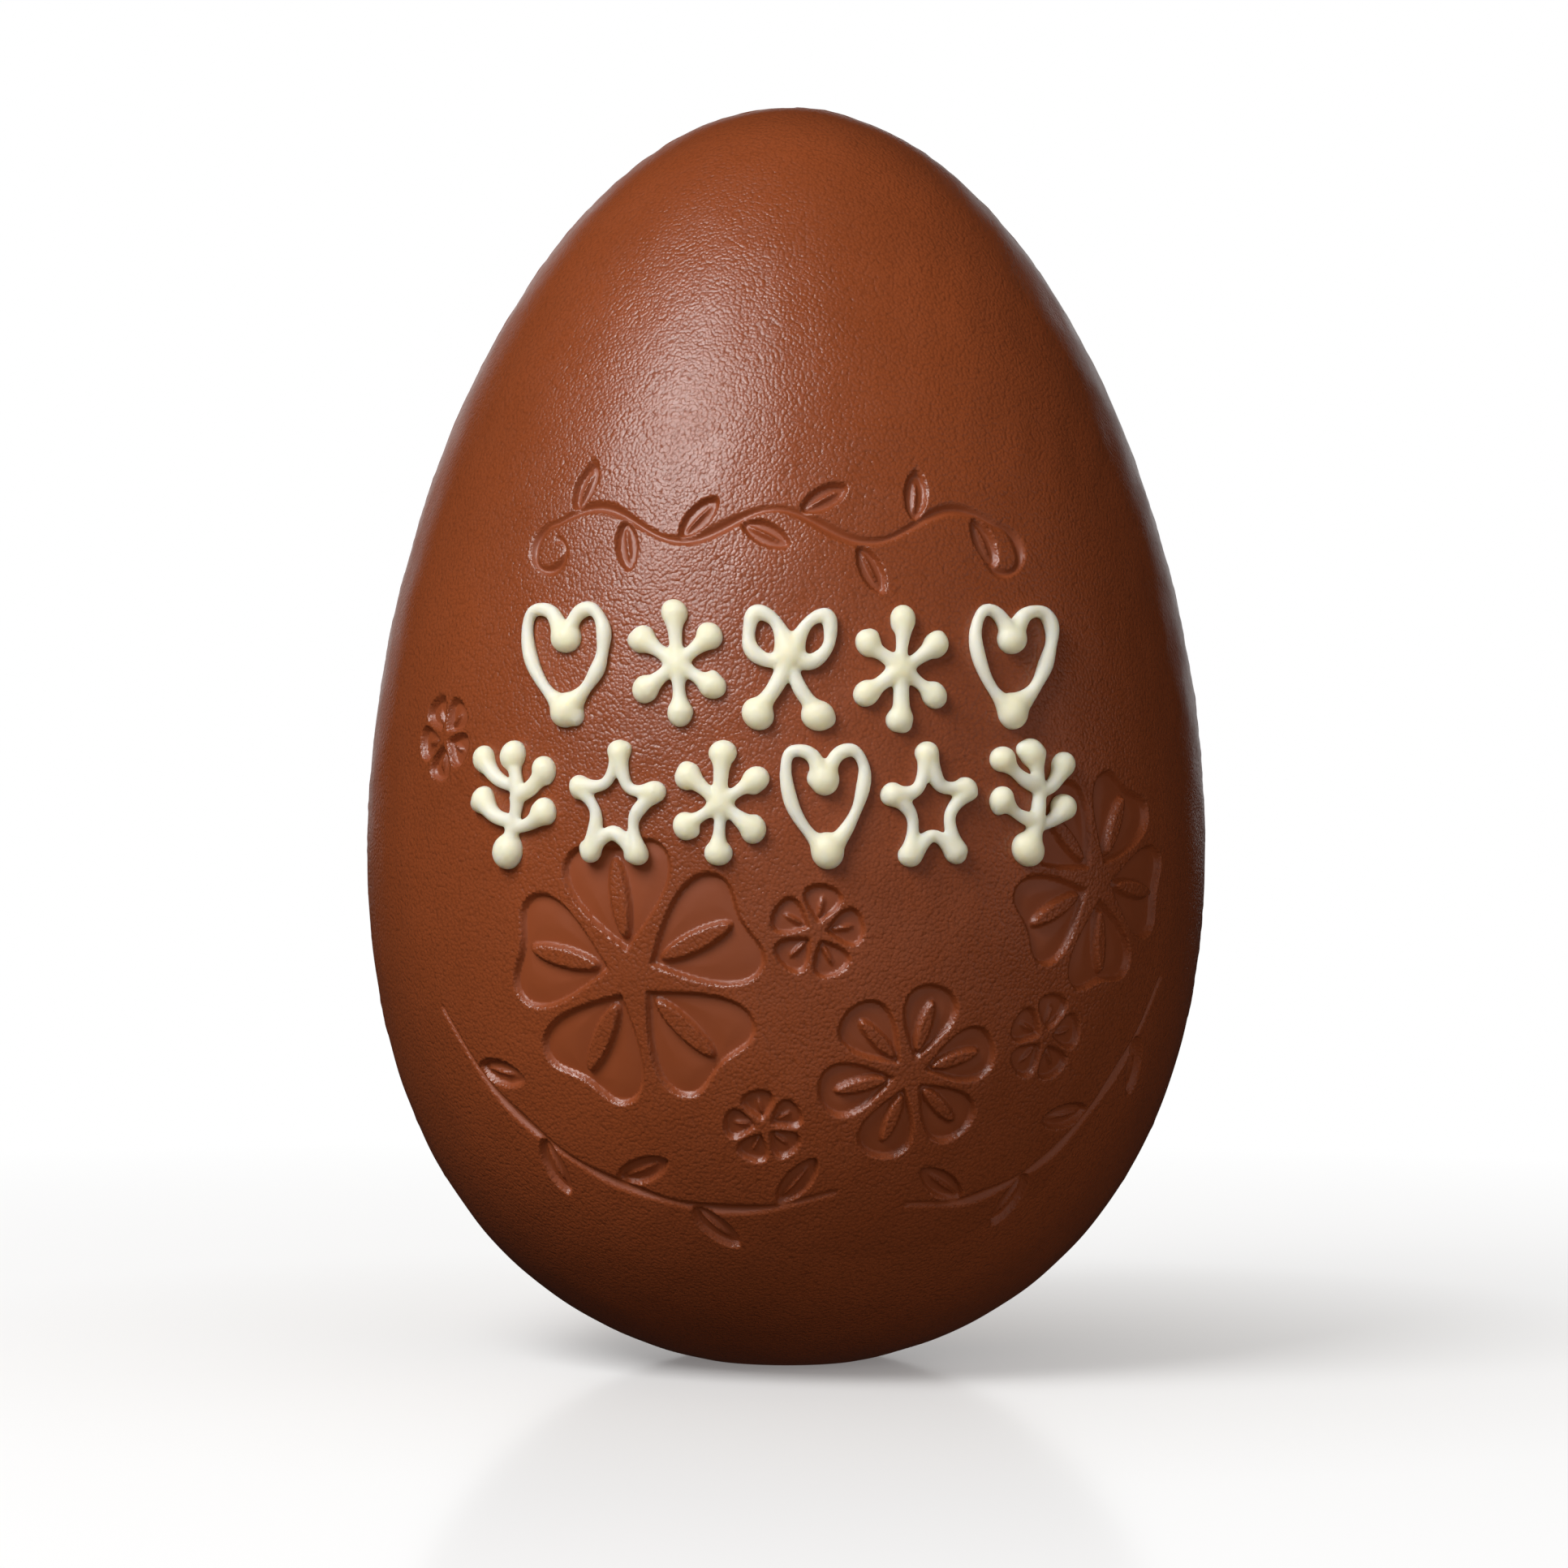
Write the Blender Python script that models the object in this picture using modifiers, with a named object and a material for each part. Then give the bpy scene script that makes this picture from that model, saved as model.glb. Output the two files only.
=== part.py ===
"""A moulded chocolate egg that stands on its blunt end, with recessed blossoms and piped ornaments.

The origin is the middle of the small flat foot, +Z runs up through the pointed end, and the
piped front faces -Y. Lengths are in metres unless a name ends in _MM.
"""

import math

import bmesh
import bpy
import numpy as np
from mathutils import Matrix, Vector

MM = 0.001

# The egg: its full curve is trimmed a little at the blunt end for the flat foot.
# BULGE holds the cubic's three terms, which swell the lower half and slim the upper one.
EGG_HEIGHT = 0.145
FOOT_TRIM = 0.001
HALF_WIDTH = 0.0479
BULGE = (0.167, 0.059, 0.019)
CURVE_HEIGHT = EGG_HEIGHT + FOOT_TRIM
EGG_RINGS = 28
EGG_SEGMENTS = 48

# The recessed relief: petals and leaves have a flat floor, and stems are round grooves.
PETAL_DEPTH = 0.0007
GROOVE_RADIUS = 0.0005
GROOVE_SIDES = 6
RELIEF_SHARP = math.radians(30)
PLATE_OUTSIDE = 0.003
PLATE_INSIDE = 0.008

# Petals: shares of the blossom's radius. A small blossom has no ribs.
PETAL_START = 0.15
PETAL_WIDTHS = {5: 0.56, 6: 0.42}
PETAL_TAPER = 1.2
NOTCH_SPREAD = 0.42
RIB_START = 0.27
RIB_LENGTH = 0.52
RIB_WIDTH = 0.11
POINTED_TAPER = 0.25
SMALL_BLOSSOM_MM = 7.0
LARGE_PETAL_STEPS = 14
SMALL_PETAL_STEPS = 8
RIB_STEPS = 5
LEAF_STEPS = 5
STEM_STEP_MM = 4.0

# The piping: strands with a swollen dot at each end, which keep a fine gap to the egg.
PIPING_GAP = 0.0003
STRAND_RADIUS = 0.001
STRAND_LIFT = 0.0005
STRAND_SIDES = 8
STRAND_STEP_MM = 2.6
DOT_LIFT = 0.0002
DOT_FLATNESS = 0.92
ROW_LEAN = math.radians(4)
ROW_WANDER_MM = 0.4
HAND_WANDER_MM = 0.18
HAND_SEED = 23
STRAND_SHARP = math.radians(50)

# Blossoms: degrees round from the front (+ is to +X), height, radius, petals, turn in degrees,
# and how deep the notch in a petal's tip is, as a share of the petal's length.
BLOSSOMS = (
    (-21.0, 47.5, 16.0, 5, 98, 0.13),
    (17.5, 36.5, 10.5, 6, 15, 0.0),
    (46.0, 57.5, 13.0, 5, 62, 0.13),
    (4.0, 52.5, 5.4, 5, 80, 0.0),
    (-3.0, 30.5, 4.6, 5, 30, 0.0),
    (38.5, 40.0, 5.2, 5, 10, 0.0),
    (-54.0, 73.0, 5.0, 5, 50, 0.0),
    (174.0, 66.0, 15.0, 5, 84, 0.13),
    (206.0, 46.0, 5.2, 5, 20, 0.0),
)

# Stems: each route's own points, in degrees round and height, and where along it the leaves are.
STEMS = (
    ((-55.0, 42.5), (-46.0, 33.0), (-33.0, 25.5), (-18.0, 21.6), (-4.0, 21.0), (8.0, 23.0)),
    ((63.0, 46.0), (56.0, 36.5), (45.0, 26.5), (32.0, 21.8), (20.0, 21.4)),
    ((150.0, 52.0), (160.0, 44.0), (173.0, 40.5), (187.0, 41.5)),
)
STEM_LEAVES = ((0.12, 0.30, 0.48, 0.66, 0.86), (0.14, 0.36, 0.58, 0.80), (0.25, 0.50, 0.75))
STEM_LEAF_MM = (7.4, 3.2)
STEM_LEAF_ANGLE = 42

# The band of leafy vine above the piping.
VINE_LEFT = -37.0
VINE_RIGHT = 33.0
VINE_HEIGHT_MM = 97.2
VINE_SWING_MM = 1.8
VINE_WAVES = 2.5
VINE_STEP_MM = 2.1
VINE_LEAF_SHARES = (0.30, 0.355, 0.41, 0.465, 0.52, 0.575, 0.63, 0.69)
VINE_LEAF_MM = (6.2, 2.9)
VINE_LEAF_ANGLE = 52
CURL_TURNS = 0.95
CURL_RADIUS_MM = 3.1
CURL_END = 0.45

# The two rows of piped ornaments: motif names, first and last middle x, height of the row's middle.
PIPED_ROWS_MM = (
    (("heart", "daisy", "bow", "daisy", "heart"), -24.4, 24.8, 81.7),
    (("sprig", "star", "daisy", "heart", "star", "sprig"), -30.2, 27.2, 66.4),
)

MILK_CHOCOLATE = (0.180, 0.046, 0.017)
WHITE_CHOCOLATE = (0.855, 0.810, 0.600)


def clear_scene():
    """Removes every object that the scene holds."""
    for obj in list(bpy.data.objects):
        bpy.data.objects.remove(obj, do_unlink=True)


def new_collection(name):
    collection = bpy.data.collections.new(name)
    bpy.context.scene.collection.children.link(collection)
    return collection


def drop_collection(collection):
    """Removes a working collection and what is left in it."""
    for obj in list(collection.objects):
        bpy.data.objects.remove(obj, do_unlink=True)
    bpy.data.collections.remove(collection)


def material(name, colour, roughness):
    made = bpy.data.materials.new(name)
    made.use_nodes = True
    shader = made.node_tree.nodes["Principled BSDF"]
    shader.inputs["Base Color"].default_value = (*colour, 1.0)
    shader.inputs["Roughness"].default_value = roughness
    shader.inputs["Metallic"].default_value = 0.0
    return made


def egg_radius(z):
    """The egg's radius at height z: an ellipse's, swollen toward the blunt end by a cubic."""
    t = 1.0 - 2.0 * (z + FOOT_TRIM) / CURVE_HEIGHT
    swell = 1.0 + sum(k * t ** (i + 1) for i, k in enumerate(BULGE))
    return HALF_WIDTH * math.sqrt(max(0.0, 1.0 - t * t)) * swell


def egg_slope(z):
    """Radius gained for each metre of height, by a central difference."""
    step = 1e-5
    return (egg_radius(z + step) - egg_radius(z - step)) / (2.0 * step)


def on_egg(x, z, lift):
    """The point of the egg's front seen at (x, z), moved outward by lift."""
    radius = egg_radius(z)
    return on_egg_round(math.asin(x / radius), z, lift)


def on_egg_round(turn, z, lift):
    """The point at height z, turned from the front toward +X, moved outward by lift."""
    radius = egg_radius(z)
    outward = outward_at(turn, z)
    return Vector((radius * math.sin(turn), -radius * math.cos(turn), z)) + outward * lift


def outward_at(turn, z):
    return Vector((math.sin(turn), -math.cos(turn), -egg_slope(z))).normalized()


def surface_frame(turn, z):
    """A matrix with +X along the egg's girth, +Y up its side and +Z outward, at that point."""
    along = Vector((math.cos(turn), math.sin(turn), 0.0))
    outward = outward_at(turn, z)
    axes = Matrix((along, outward.cross(along), outward)).transposed().to_4x4()
    return Matrix.Translation(on_egg_round(turn, z, 0.0)) @ axes


def round_profile(offset):
    """Points (radius, height) from the pointed end down to the untrimmed one, moved outward."""
    points = [(0.0, EGG_HEIGHT + offset)]
    for ring in range(1, EGG_RINGS):
        z = 0.5 * CURVE_HEIGHT * (1.0 + math.cos(math.pi * ring / EGG_RINGS)) - FOOT_TRIM
        slope = egg_slope(z)
        length = math.hypot(1.0, slope)
        points.append((egg_radius(z) + offset / length, z - offset * slope / length))
    points.append((0.0, -FOOT_TRIM - offset))
    return points


def footed_profile():
    """The egg's own profile, which ends in the flat foot."""
    above = [point for point in round_profile(0.0) if point[1] > 0.5 * FOOT_TRIM]
    return [*above, (egg_radius(0.0), 0.0), (0.0, 0.0)]


def turned_body(name, profile, collection):
    """A profile at +X, top to bottom, turned round the Z axis."""
    mesh = bpy.data.meshes.new(name)
    edges = [(i, i + 1) for i in range(len(profile) - 1)]
    mesh.from_pydata([(r, 0.0, z) for r, z in profile], edges, [])
    body = bpy.data.objects.new(name, mesh)
    collection.objects.link(body)
    screw = body.modifiers.new("Turned", "SCREW")
    screw.angle = 2.0 * math.pi
    screw.steps = EGG_SEGMENTS
    screw.render_steps = EGG_SEGMENTS
    screw.use_merge_vertices = True
    screw.merge_threshold = 1e-5
    screw.use_smooth_shade = True
    return body


def boolean(body, operation, cutter=None, collection=None):
    modifier = body.modifiers.new(operation.title(), "BOOLEAN")
    modifier.operation = operation
    modifier.solver = "EXACT"
    if collection is None:
        modifier.object = cutter
    else:
        modifier.operand_type = "COLLECTION"
        modifier.collection = collection


def apply_modifiers(body):
    """Gives the object the mesh that its modifiers make, and drops them."""
    bpy.context.view_layer.update()
    graph = bpy.context.evaluated_depsgraph_get()
    mesh = bpy.data.meshes.new_from_object(body.evaluated_get(graph))
    body.modifiers.clear()
    body.data = mesh


def welded_mesh(curve_object, collection):
    """The curve's solid as a mesh object of the same name and place, with its caps welded."""
    bpy.context.view_layer.update()
    graph = bpy.context.evaluated_depsgraph_get()
    mesh = bpy.data.meshes.new_from_object(curve_object.evaluated_get(graph))
    shape = bmesh.new()
    shape.from_mesh(mesh)
    bmesh.ops.remove_doubles(shape, verts=shape.verts, dist=1e-6)
    bmesh.ops.recalc_face_normals(shape, faces=shape.faces)
    shape.to_mesh(mesh)
    shape.free()
    solid = bpy.data.objects.new(curve_object.name + "_solid", mesh)
    solid.matrix_world = curve_object.matrix_world.copy()
    collection.objects.link(solid)
    curve = curve_object.data
    bpy.data.objects.remove(curve_object, do_unlink=True)
    bpy.data.curves.remove(curve)
    return solid


def smooth_route(points, step):
    """Evenly spaced points on the Catmull-Rom curve through the route's own points."""
    known = np.array(points, float)
    padded = np.vstack((2 * known[:1] - known[1:2], known, 2 * known[-1:] - known[-2:-1]))
    t = np.linspace(0.0, 1.0, 24, endpoint=False)[:, None]
    fine = []
    for i in range(len(known) - 1):
        a, b, c, d = padded[i : i + 4]
        cubic = -a + 3 * b - 3 * c + d
        fine.append(0.5 * (2 * b + (c - a) * t + (2 * a - 5 * b + 4 * c - d) * t**2 + cubic * t**3))
    fine.append(known[-1:])
    fine = np.vstack(fine)
    walked = np.concatenate(([0.0], np.cumsum(np.linalg.norm(np.diff(fine, axis=0), axis=1))))
    count = max(2, round(walked[-1] / step) + 1)
    at = np.linspace(0.0, walked[-1], count)
    return np.column_stack([np.interp(at, walked, axis) for axis in fine.T])


def tube(name, points, radius, sides, collection):
    """A round strand along the points, closed at both ends."""
    curve = bpy.data.curves.new(name, "CURVE")
    curve.dimensions = "3D"
    curve.bevel_depth = radius
    curve.bevel_resolution = sides // 2 - 2
    curve.use_fill_caps = True
    spline = curve.splines.new("POLY")
    spline.points.add(len(points) - 1)
    for knot, point in zip(spline.points, points):
        knot.co = (*point, 1.0)
    strand = bpy.data.objects.new(name, curve)
    collection.objects.link(strand)
    return welded_mesh(strand, collection)


def pointed_outline(length, width, steps):
    """A leaf's outline along +X, pointed at both ends."""
    turns = np.linspace(0.0, 2.0 * math.pi, 2 * steps, endpoint=False)
    across = 0.5 * width * np.sin(turns) * np.abs(np.sin(turns)) ** POINTED_TAPER
    return np.column_stack((0.5 * length * (1.0 - np.cos(turns)), across))


def petal_outline(length, width, notch, steps):
    """A petal's outline along +X: narrow at its foot, round at its tip, with a notch there."""
    turns = np.linspace(0.0, 2.0 * math.pi, steps, endpoint=False)
    across = width * np.sin(turns) * np.abs(np.sin(0.5 * turns)) ** PETAL_TAPER
    along = 0.5 * length * (1.0 - np.cos(turns))
    dent = notch * length * np.exp(-(((turns - math.pi) / NOTCH_SPREAD) ** 2))
    return np.column_stack((along - dent, across))


def placed(outline, foot, direction):
    """The outline turned to its direction, with its foot at that point."""
    cosine = math.cos(direction)
    sine = math.sin(direction)
    x = foot[0] + outline[:, 0] * cosine - outline[:, 1] * sine
    y = foot[1] + outline[:, 0] * sine + outline[:, 1] * cosine
    return np.column_stack((x, y))


def blossom_outlines(radius, petals, turn, notch):
    """Round the blossom's middle: each petal's edge and, in a large one, its raised rib's."""
    small = radius < SMALL_BLOSSOM_MM
    steps = SMALL_PETAL_STEPS if small else LARGE_PETAL_STEPS
    petal = petal_outline((1.0 - PETAL_START) * radius, PETAL_WIDTHS[petals] * radius, notch, steps)
    rib = pointed_outline(RIB_LENGTH * radius, RIB_WIDTH * radius, RIB_STEPS)
    outlines = []
    for i in range(petals):
        direction = math.radians(turn) + 2.0 * math.pi * i / petals
        heading = radius * np.array((math.cos(direction), math.sin(direction)))
        outlines.append(placed(petal, PETAL_START * heading, direction))
        if not small:
            outlines.append(placed(rib, RIB_START * heading, direction))
    return outlines


def vine_route():
    """The vine's wavy stem in degrees and millimetres, with a curl at each end."""
    t = np.linspace(0.0, 1.0, 60)
    turns = VINE_LEFT + (VINE_RIGHT - VINE_LEFT) * t
    heights = VINE_HEIGHT_MM + VINE_SWING_MM * np.sin(2.0 * math.pi * VINE_WAVES * t)
    wave = np.column_stack((turns, heights))
    sweep = np.linspace(0.0, 2.0 * math.pi * CURL_TURNS, 40)[1:]
    reach = CURL_RADIUS_MM * (1.0 + (CURL_END - 1.0) * sweep / sweep[-1])
    per_degree = math.radians(egg_radius(VINE_HEIGHT_MM * MM)) / MM
    across = reach * np.sin(sweep) / per_degree
    up = CURL_RADIUS_MM - reach * np.cos(sweep)
    right = wave[-1] + np.column_stack((across, -up))
    left = wave[0] + np.column_stack((-across, -up))
    return np.vstack((left[::-1], wave, right))


def stem_leaves(route, shares, angle, size):
    """Leaves that stand off a stem, one to its left and the next to its right.

    Each is its foot, in degrees round and millimetres of height, and its outline from there.
    """
    leaves = []
    for i, share in enumerate(shares):
        at = share * (len(route) - 1)
        before = route[int(at)]
        after = route[int(at) + 1]
        foot = before + (after - before) * (at - int(at))
        per_degree = math.radians(egg_radius(foot[1] * MM)) / MM
        heading = math.atan2(after[1] - before[1], (after[0] - before[0]) * per_degree)
        direction = heading + math.radians(angle if i % 2 == 0 else -angle)
        start = GROOVE_RADIUS / MM * np.array((math.cos(direction), math.sin(direction)))
        leaves.append((foot, placed(pointed_outline(*size, LEAF_STEPS), start, direction)))
    return leaves


def relief_cutter(name, outlines, turn, z, floor, collection):
    """A plate with these outlines, laid on the egg there and cut off at the relief's floor."""
    curve = bpy.data.curves.new(name, "CURVE")
    curve.dimensions = "2D"
    curve.fill_mode = "BOTH"
    curve.extrude = 0.5 * (PLATE_OUTSIDE + PLATE_INSIDE)
    for outline in outlines:
        spline = curve.splines.new("POLY")
        spline.points.add(len(outline) - 1)
        spline.use_cyclic_u = True
        for knot, (x, y) in zip(spline.points, outline * MM):
            knot.co = (x, y, 0.0, 1.0)
    plate = bpy.data.objects.new(name, curve)
    middle = Matrix.Translation((0.0, 0.0, 0.5 * (PLATE_OUTSIDE - PLATE_INSIDE)))
    plate.matrix_world = surface_frame(turn, z) @ middle
    collection.objects.link(plate)
    cutter = welded_mesh(plate, collection)
    boolean(cutter, "DIFFERENCE", cutter=floor)
    apply_modifiers(cutter)


def groove_cutter(name, route, step, collection):
    """A strand whose axis lies on the egg's surface, so that it cuts a half-round groove."""
    points = [on_egg_round(math.radians(turn), z * MM, 0.0) for turn, z in route]
    tube(name, smooth_route(points, step * MM), GROOVE_RADIUS, GROOVE_SIDES, collection)


def build_egg(parts, chocolate):
    """The solid egg with its recessed petals, leaves and stems."""
    cutters = new_collection("floor_cutter")
    relief = new_collection("relief_cutters")
    egg = turned_body("egg", footed_profile(), parts)
    egg.data.materials.append(chocolate)
    floor = turned_body("relief_floor", round_profile(-PETAL_DEPTH), cutters)
    for turn, z, *blossom in BLOSSOMS:
        outlines = blossom_outlines(*blossom)
        relief_cutter("blossom", outlines, math.radians(turn), z * MM, floor, relief)
    vine = vine_route()
    leaves = stem_leaves(vine, VINE_LEAF_SHARES, VINE_LEAF_ANGLE, VINE_LEAF_MM)
    groove_cutter("vine", vine, VINE_STEP_MM, relief)
    for stem, shares in zip(STEMS, STEM_LEAVES):
        route = smooth_route(stem, 1.0)
        leaves += stem_leaves(route, shares, STEM_LEAF_ANGLE, STEM_LEAF_MM)
        groove_cutter("stem", stem, STEM_STEP_MM, relief)
    for (turn, z), outline in leaves:
        relief_cutter("leaf", [outline], math.radians(turn), z * MM, floor, relief)
    boolean(egg, "DIFFERENCE", collection=relief)
    apply_modifiers(egg)
    egg.data.set_sharp_from_angle(angle=RELIEF_SHARP)
    drop_collection(relief)
    drop_collection(cutters)


def mirrored(route):
    return [(-x, z) for x, z in route]


def heart():
    """The motif's strands, as points x and z in mm, and its dots: x, z and radius."""
    half = [(0.0, 2.6), (-1.5, 5.2), (-3.4, 5.6), (-4.3, 3.3), (-3.7, 0.0), (-2.1, -2.9), (0.0, -5.3)]
    return [half, mirrored(half)], [(0.0, 2.6, 1.8), (0.0, -5.3, 2.0)]


def daisy():
    petals = [math.radians(90 + 60 * i) for i in range(6)]
    tips = [(4.3 * math.cos(turn), 5.5 * math.sin(turn)) for turn in petals]
    strands = [[(0.1 * x, 0.1 * z), (x, z)] for x, z in tips]
    return strands, [(0.0, 0.0, 1.5)] + [(x, z, 1.55) for x, z in tips]


def bow():
    loop = [(0.0, 1.6), (-1.9, 4.8), (-4.0, 5.4), (-4.4, 2.2), (-2.4, 0.4), (0.0, 1.0)]
    tail = [(0.0, 0.8), (-1.4, -2.4), (-3.3, -5.4)]
    dots = [(0.0, 1.3, 1.9), (-3.3, -5.4, 1.85), (3.3, -5.4, 1.85)]
    return [loop, mirrored(loop), tail, mirrored(tail)], dots


def star():
    corners = []
    for i in range(11):
        turn = math.radians(90 + 36 * i)
        reach = 6.2 if i % 2 == 0 else 3.0
        corners.append((0.70 * reach * math.cos(turn), reach * math.sin(turn) - 0.4))
    return [corners[i : i + 3] for i in range(0, 10, 2)], [(x, z, 1.35) for x, z in corners[:10:2]]


def sprig():
    stem = [(-0.7, -5.3), (0.2, -2.4), (0.5, 1.6), (0.0, 5.3)]
    twigs = [
        [(0.1, -2.8), (2.0, -2.2), (3.5, -0.8)],
        [(0.2, -2.2), (-1.8, -1.5), (-3.5, 0.3)],
        [(0.5, 0.8), (2.2, 1.8), (3.5, 3.8)],
        [(0.4, 1.6), (-1.6, 2.7), (-3.3, 4.8)],
    ]
    dots = [(-0.7, -5.3, 2.0), (0.0, 5.3, 1.7)] + [(*twig[-1], 1.55) for twig in twigs]
    return [stem, *twigs], dots


MOTIFS = {"heart": heart, "daisy": daisy, "bow": bow, "star": star, "sprig": sprig}


def strand(route, collection):
    """A strand that follows the egg along the route, given as x and z in mm."""
    points = [on_egg(x * MM, z * MM, STRAND_LIFT) for x, z in smooth_route(route, STRAND_STEP_MM)]
    return tube("strand", points, STRAND_RADIUS, STRAND_SIDES, collection)


def dot(x, z, radius, collection):
    """A slightly flattened ball on the egg, in mm."""
    shape = bmesh.new()
    bmesh.ops.create_icosphere(shape, subdivisions=1, radius=radius * MM)
    mesh = bpy.data.meshes.new("dot")
    shape.to_mesh(mesh)
    shape.free()
    ball = bpy.data.objects.new("dot", mesh)
    ball.location = on_egg(x * MM, z * MM, DOT_LIFT)
    outward = ball.location - on_egg(x * MM, z * MM, 0.0)
    ball.rotation_euler = outward.to_track_quat("Z", "Y").to_euler()
    ball.scale = (1.0, 1.0, DOT_FLATNESS)
    collection.objects.link(ball)
    return ball


def build_ornament(name, motif, middle, lean, rng, seat, parts, icing):
    """Strands and dots of one ornament, joined and cut clear of the egg."""
    pieces = new_collection(name + "_pieces")
    strands, dots = MOTIFS[motif]()
    for route in strands:
        drawn = placed(np.array(route), middle, lean)
        strand(drawn + rng.uniform(-HAND_WANDER_MM, HAND_WANDER_MM, drawn.shape), pieces)
    dots = np.array(dots)
    for (x, z), radius in zip(placed(dots[:, :2], middle, lean), dots[:, 2]):
        dot(x, z, radius, pieces)
    ornament = pieces.objects[0]
    pieces.objects.unlink(ornament)
    parts.objects.link(ornament)
    ornament.name = name
    boolean(ornament, "UNION", collection=pieces)
    boolean(ornament, "DIFFERENCE", cutter=seat)
    apply_modifiers(ornament)
    drop_collection(pieces)
    ornament.data.materials.clear()
    ornament.data.materials.append(icing)
    ornament.data.shade_smooth()
    ornament.data.set_sharp_from_angle(angle=STRAND_SHARP)


def build_piping(parts, icing):
    """Both rows of ornaments, each leaning a little to one side or the other."""
    cutters = new_collection("seat_cutter")
    seat = turned_body("piping_seat", round_profile(PIPING_GAP), cutters)
    rng = np.random.default_rng(HAND_SEED)
    counts = {}
    for motifs, first, last, height in PIPED_ROWS_MM:
        for i, motif in enumerate(motifs):
            counts[motif] = counts.get(motif, 0) + 1
            x = first + (last - first) * i / (len(motifs) - 1)
            middle = (x, height + rng.uniform(-ROW_WANDER_MM, ROW_WANDER_MM))
            lean = rng.uniform(-ROW_LEAN, ROW_LEAN)
            name = f"piped_{motif}_{counts[motif]}"
            build_ornament(name, motif, middle, lean, rng, seat, parts, icing)
    drop_collection(cutters)


def main():
    clear_scene()
    parts = new_collection("chocolate_egg")
    build_egg(parts, material("milk_chocolate", MILK_CHOCOLATE, 0.42))
    build_piping(parts, material("white_chocolate", WHITE_CHOCOLATE, 0.30))


main()
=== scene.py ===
"""Dresses the moulded chocolate egg: pebbled milk chocolate with recessed blossoms, and white piping.

The egg stands on its flat foot with the piped front toward -Y. Lengths are in metres unless a
name ends in _MM. Angles round the egg start at the front and grow toward +X.
"""

import math

import bpy
import numpy as np
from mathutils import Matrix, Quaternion, Vector


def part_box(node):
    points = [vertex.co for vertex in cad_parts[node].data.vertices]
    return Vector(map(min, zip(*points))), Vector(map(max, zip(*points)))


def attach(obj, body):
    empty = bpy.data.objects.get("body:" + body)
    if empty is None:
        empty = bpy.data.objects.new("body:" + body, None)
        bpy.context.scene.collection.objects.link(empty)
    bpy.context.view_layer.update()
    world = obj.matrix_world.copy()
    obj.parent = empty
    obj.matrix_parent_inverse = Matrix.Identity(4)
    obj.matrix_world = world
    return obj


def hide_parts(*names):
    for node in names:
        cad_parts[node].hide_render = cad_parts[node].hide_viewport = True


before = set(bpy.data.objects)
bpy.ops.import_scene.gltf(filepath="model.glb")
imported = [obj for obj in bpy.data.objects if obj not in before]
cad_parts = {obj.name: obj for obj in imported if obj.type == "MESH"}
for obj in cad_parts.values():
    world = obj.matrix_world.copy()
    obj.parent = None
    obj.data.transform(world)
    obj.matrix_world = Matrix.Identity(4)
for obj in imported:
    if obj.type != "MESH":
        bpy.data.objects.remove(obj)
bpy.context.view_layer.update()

bl_info = {
    "name": "Chocolate Egg",
    "version": (1, 0, 0),
    "blender": (4, 5, 0),
    "location": "View3D > Sidebar > Chocolate Egg",
    "description": "Moulds, pipes and stages a milk chocolate egg",
    "category": "Object",
}

MM = 0.001
BODY = "root"

# The egg's curve, as the solids have it.
EGG_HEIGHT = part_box("egg")[1].z
FOOT_TRIM = 0.001
HALF_WIDTH = 0.0479
BULGE = (0.167, 0.059, 0.019)
CURVE_HEIGHT = EGG_HEIGHT + FOOT_TRIM
CORE = (0.0, 0.0, 0.45 * EGG_HEIGHT)

# The relief's layout, as the solids have it: see the notes on each function that reads it.
GROOVE_RADIUS = 0.0005
PETAL_START = 0.15
PETAL_WIDTHS = {5: 0.56, 6: 0.42}
PETAL_TAPER = 1.2
NOTCH_SPREAD = 0.42
RIB_START = 0.27
RIB_LENGTH = 0.52
RIB_WIDTH = 0.11
POINTED_TAPER = 0.25
SMALL_BLOSSOM_MM = 7.0
SMALL_RIB_WIDTH = 0.15
LEAF_VEIN_START = 0.10
LEAF_VEIN_LENGTH = 0.72
LEAF_VEIN_WIDTH = 0.24
OUTLINE_STEPS = 72
BLOSSOMS = (
    (-21.0, 47.5, 16.0, 5, 98, 0.13),
    (17.5, 36.5, 10.5, 6, 15, 0.0),
    (46.0, 57.5, 13.0, 5, 62, 0.13),
    (4.0, 52.5, 5.4, 5, 80, 0.0),
    (-3.0, 30.5, 4.6, 5, 30, 0.0),
    (38.5, 40.0, 5.2, 5, 10, 0.0),
    (-54.0, 73.0, 5.0, 5, 50, 0.0),
    (174.0, 66.0, 15.0, 5, 84, 0.13),
    (206.0, 46.0, 5.2, 5, 20, 0.0),
)
STEMS = (
    ((-55.0, 42.5), (-46.0, 33.0), (-33.0, 25.5), (-18.0, 21.6), (-4.0, 21.0), (8.0, 23.0)),
    ((63.0, 46.0), (56.0, 36.5), (45.0, 26.5), (32.0, 21.8), (20.0, 21.4)),
    ((150.0, 52.0), (160.0, 44.0), (173.0, 40.5), (187.0, 41.5)),
)
STEM_LEAVES = ((0.12, 0.30, 0.48, 0.66, 0.86), (0.14, 0.36, 0.58, 0.80), (0.25, 0.50, 0.75))
STEM_LEAF_MM = (7.4, 3.2)
STEM_LEAF_ANGLE = 42
VINE_LEFT = -37.0
VINE_RIGHT = 33.0
VINE_HEIGHT_MM = 97.2
VINE_SWING_MM = 1.8
VINE_WAVES = 2.5
VINE_LEAF_SHARES = (0.30, 0.355, 0.41, 0.465, 0.52, 0.575, 0.63, 0.69)
VINE_LEAF_MM = (6.2, 2.9)
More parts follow.
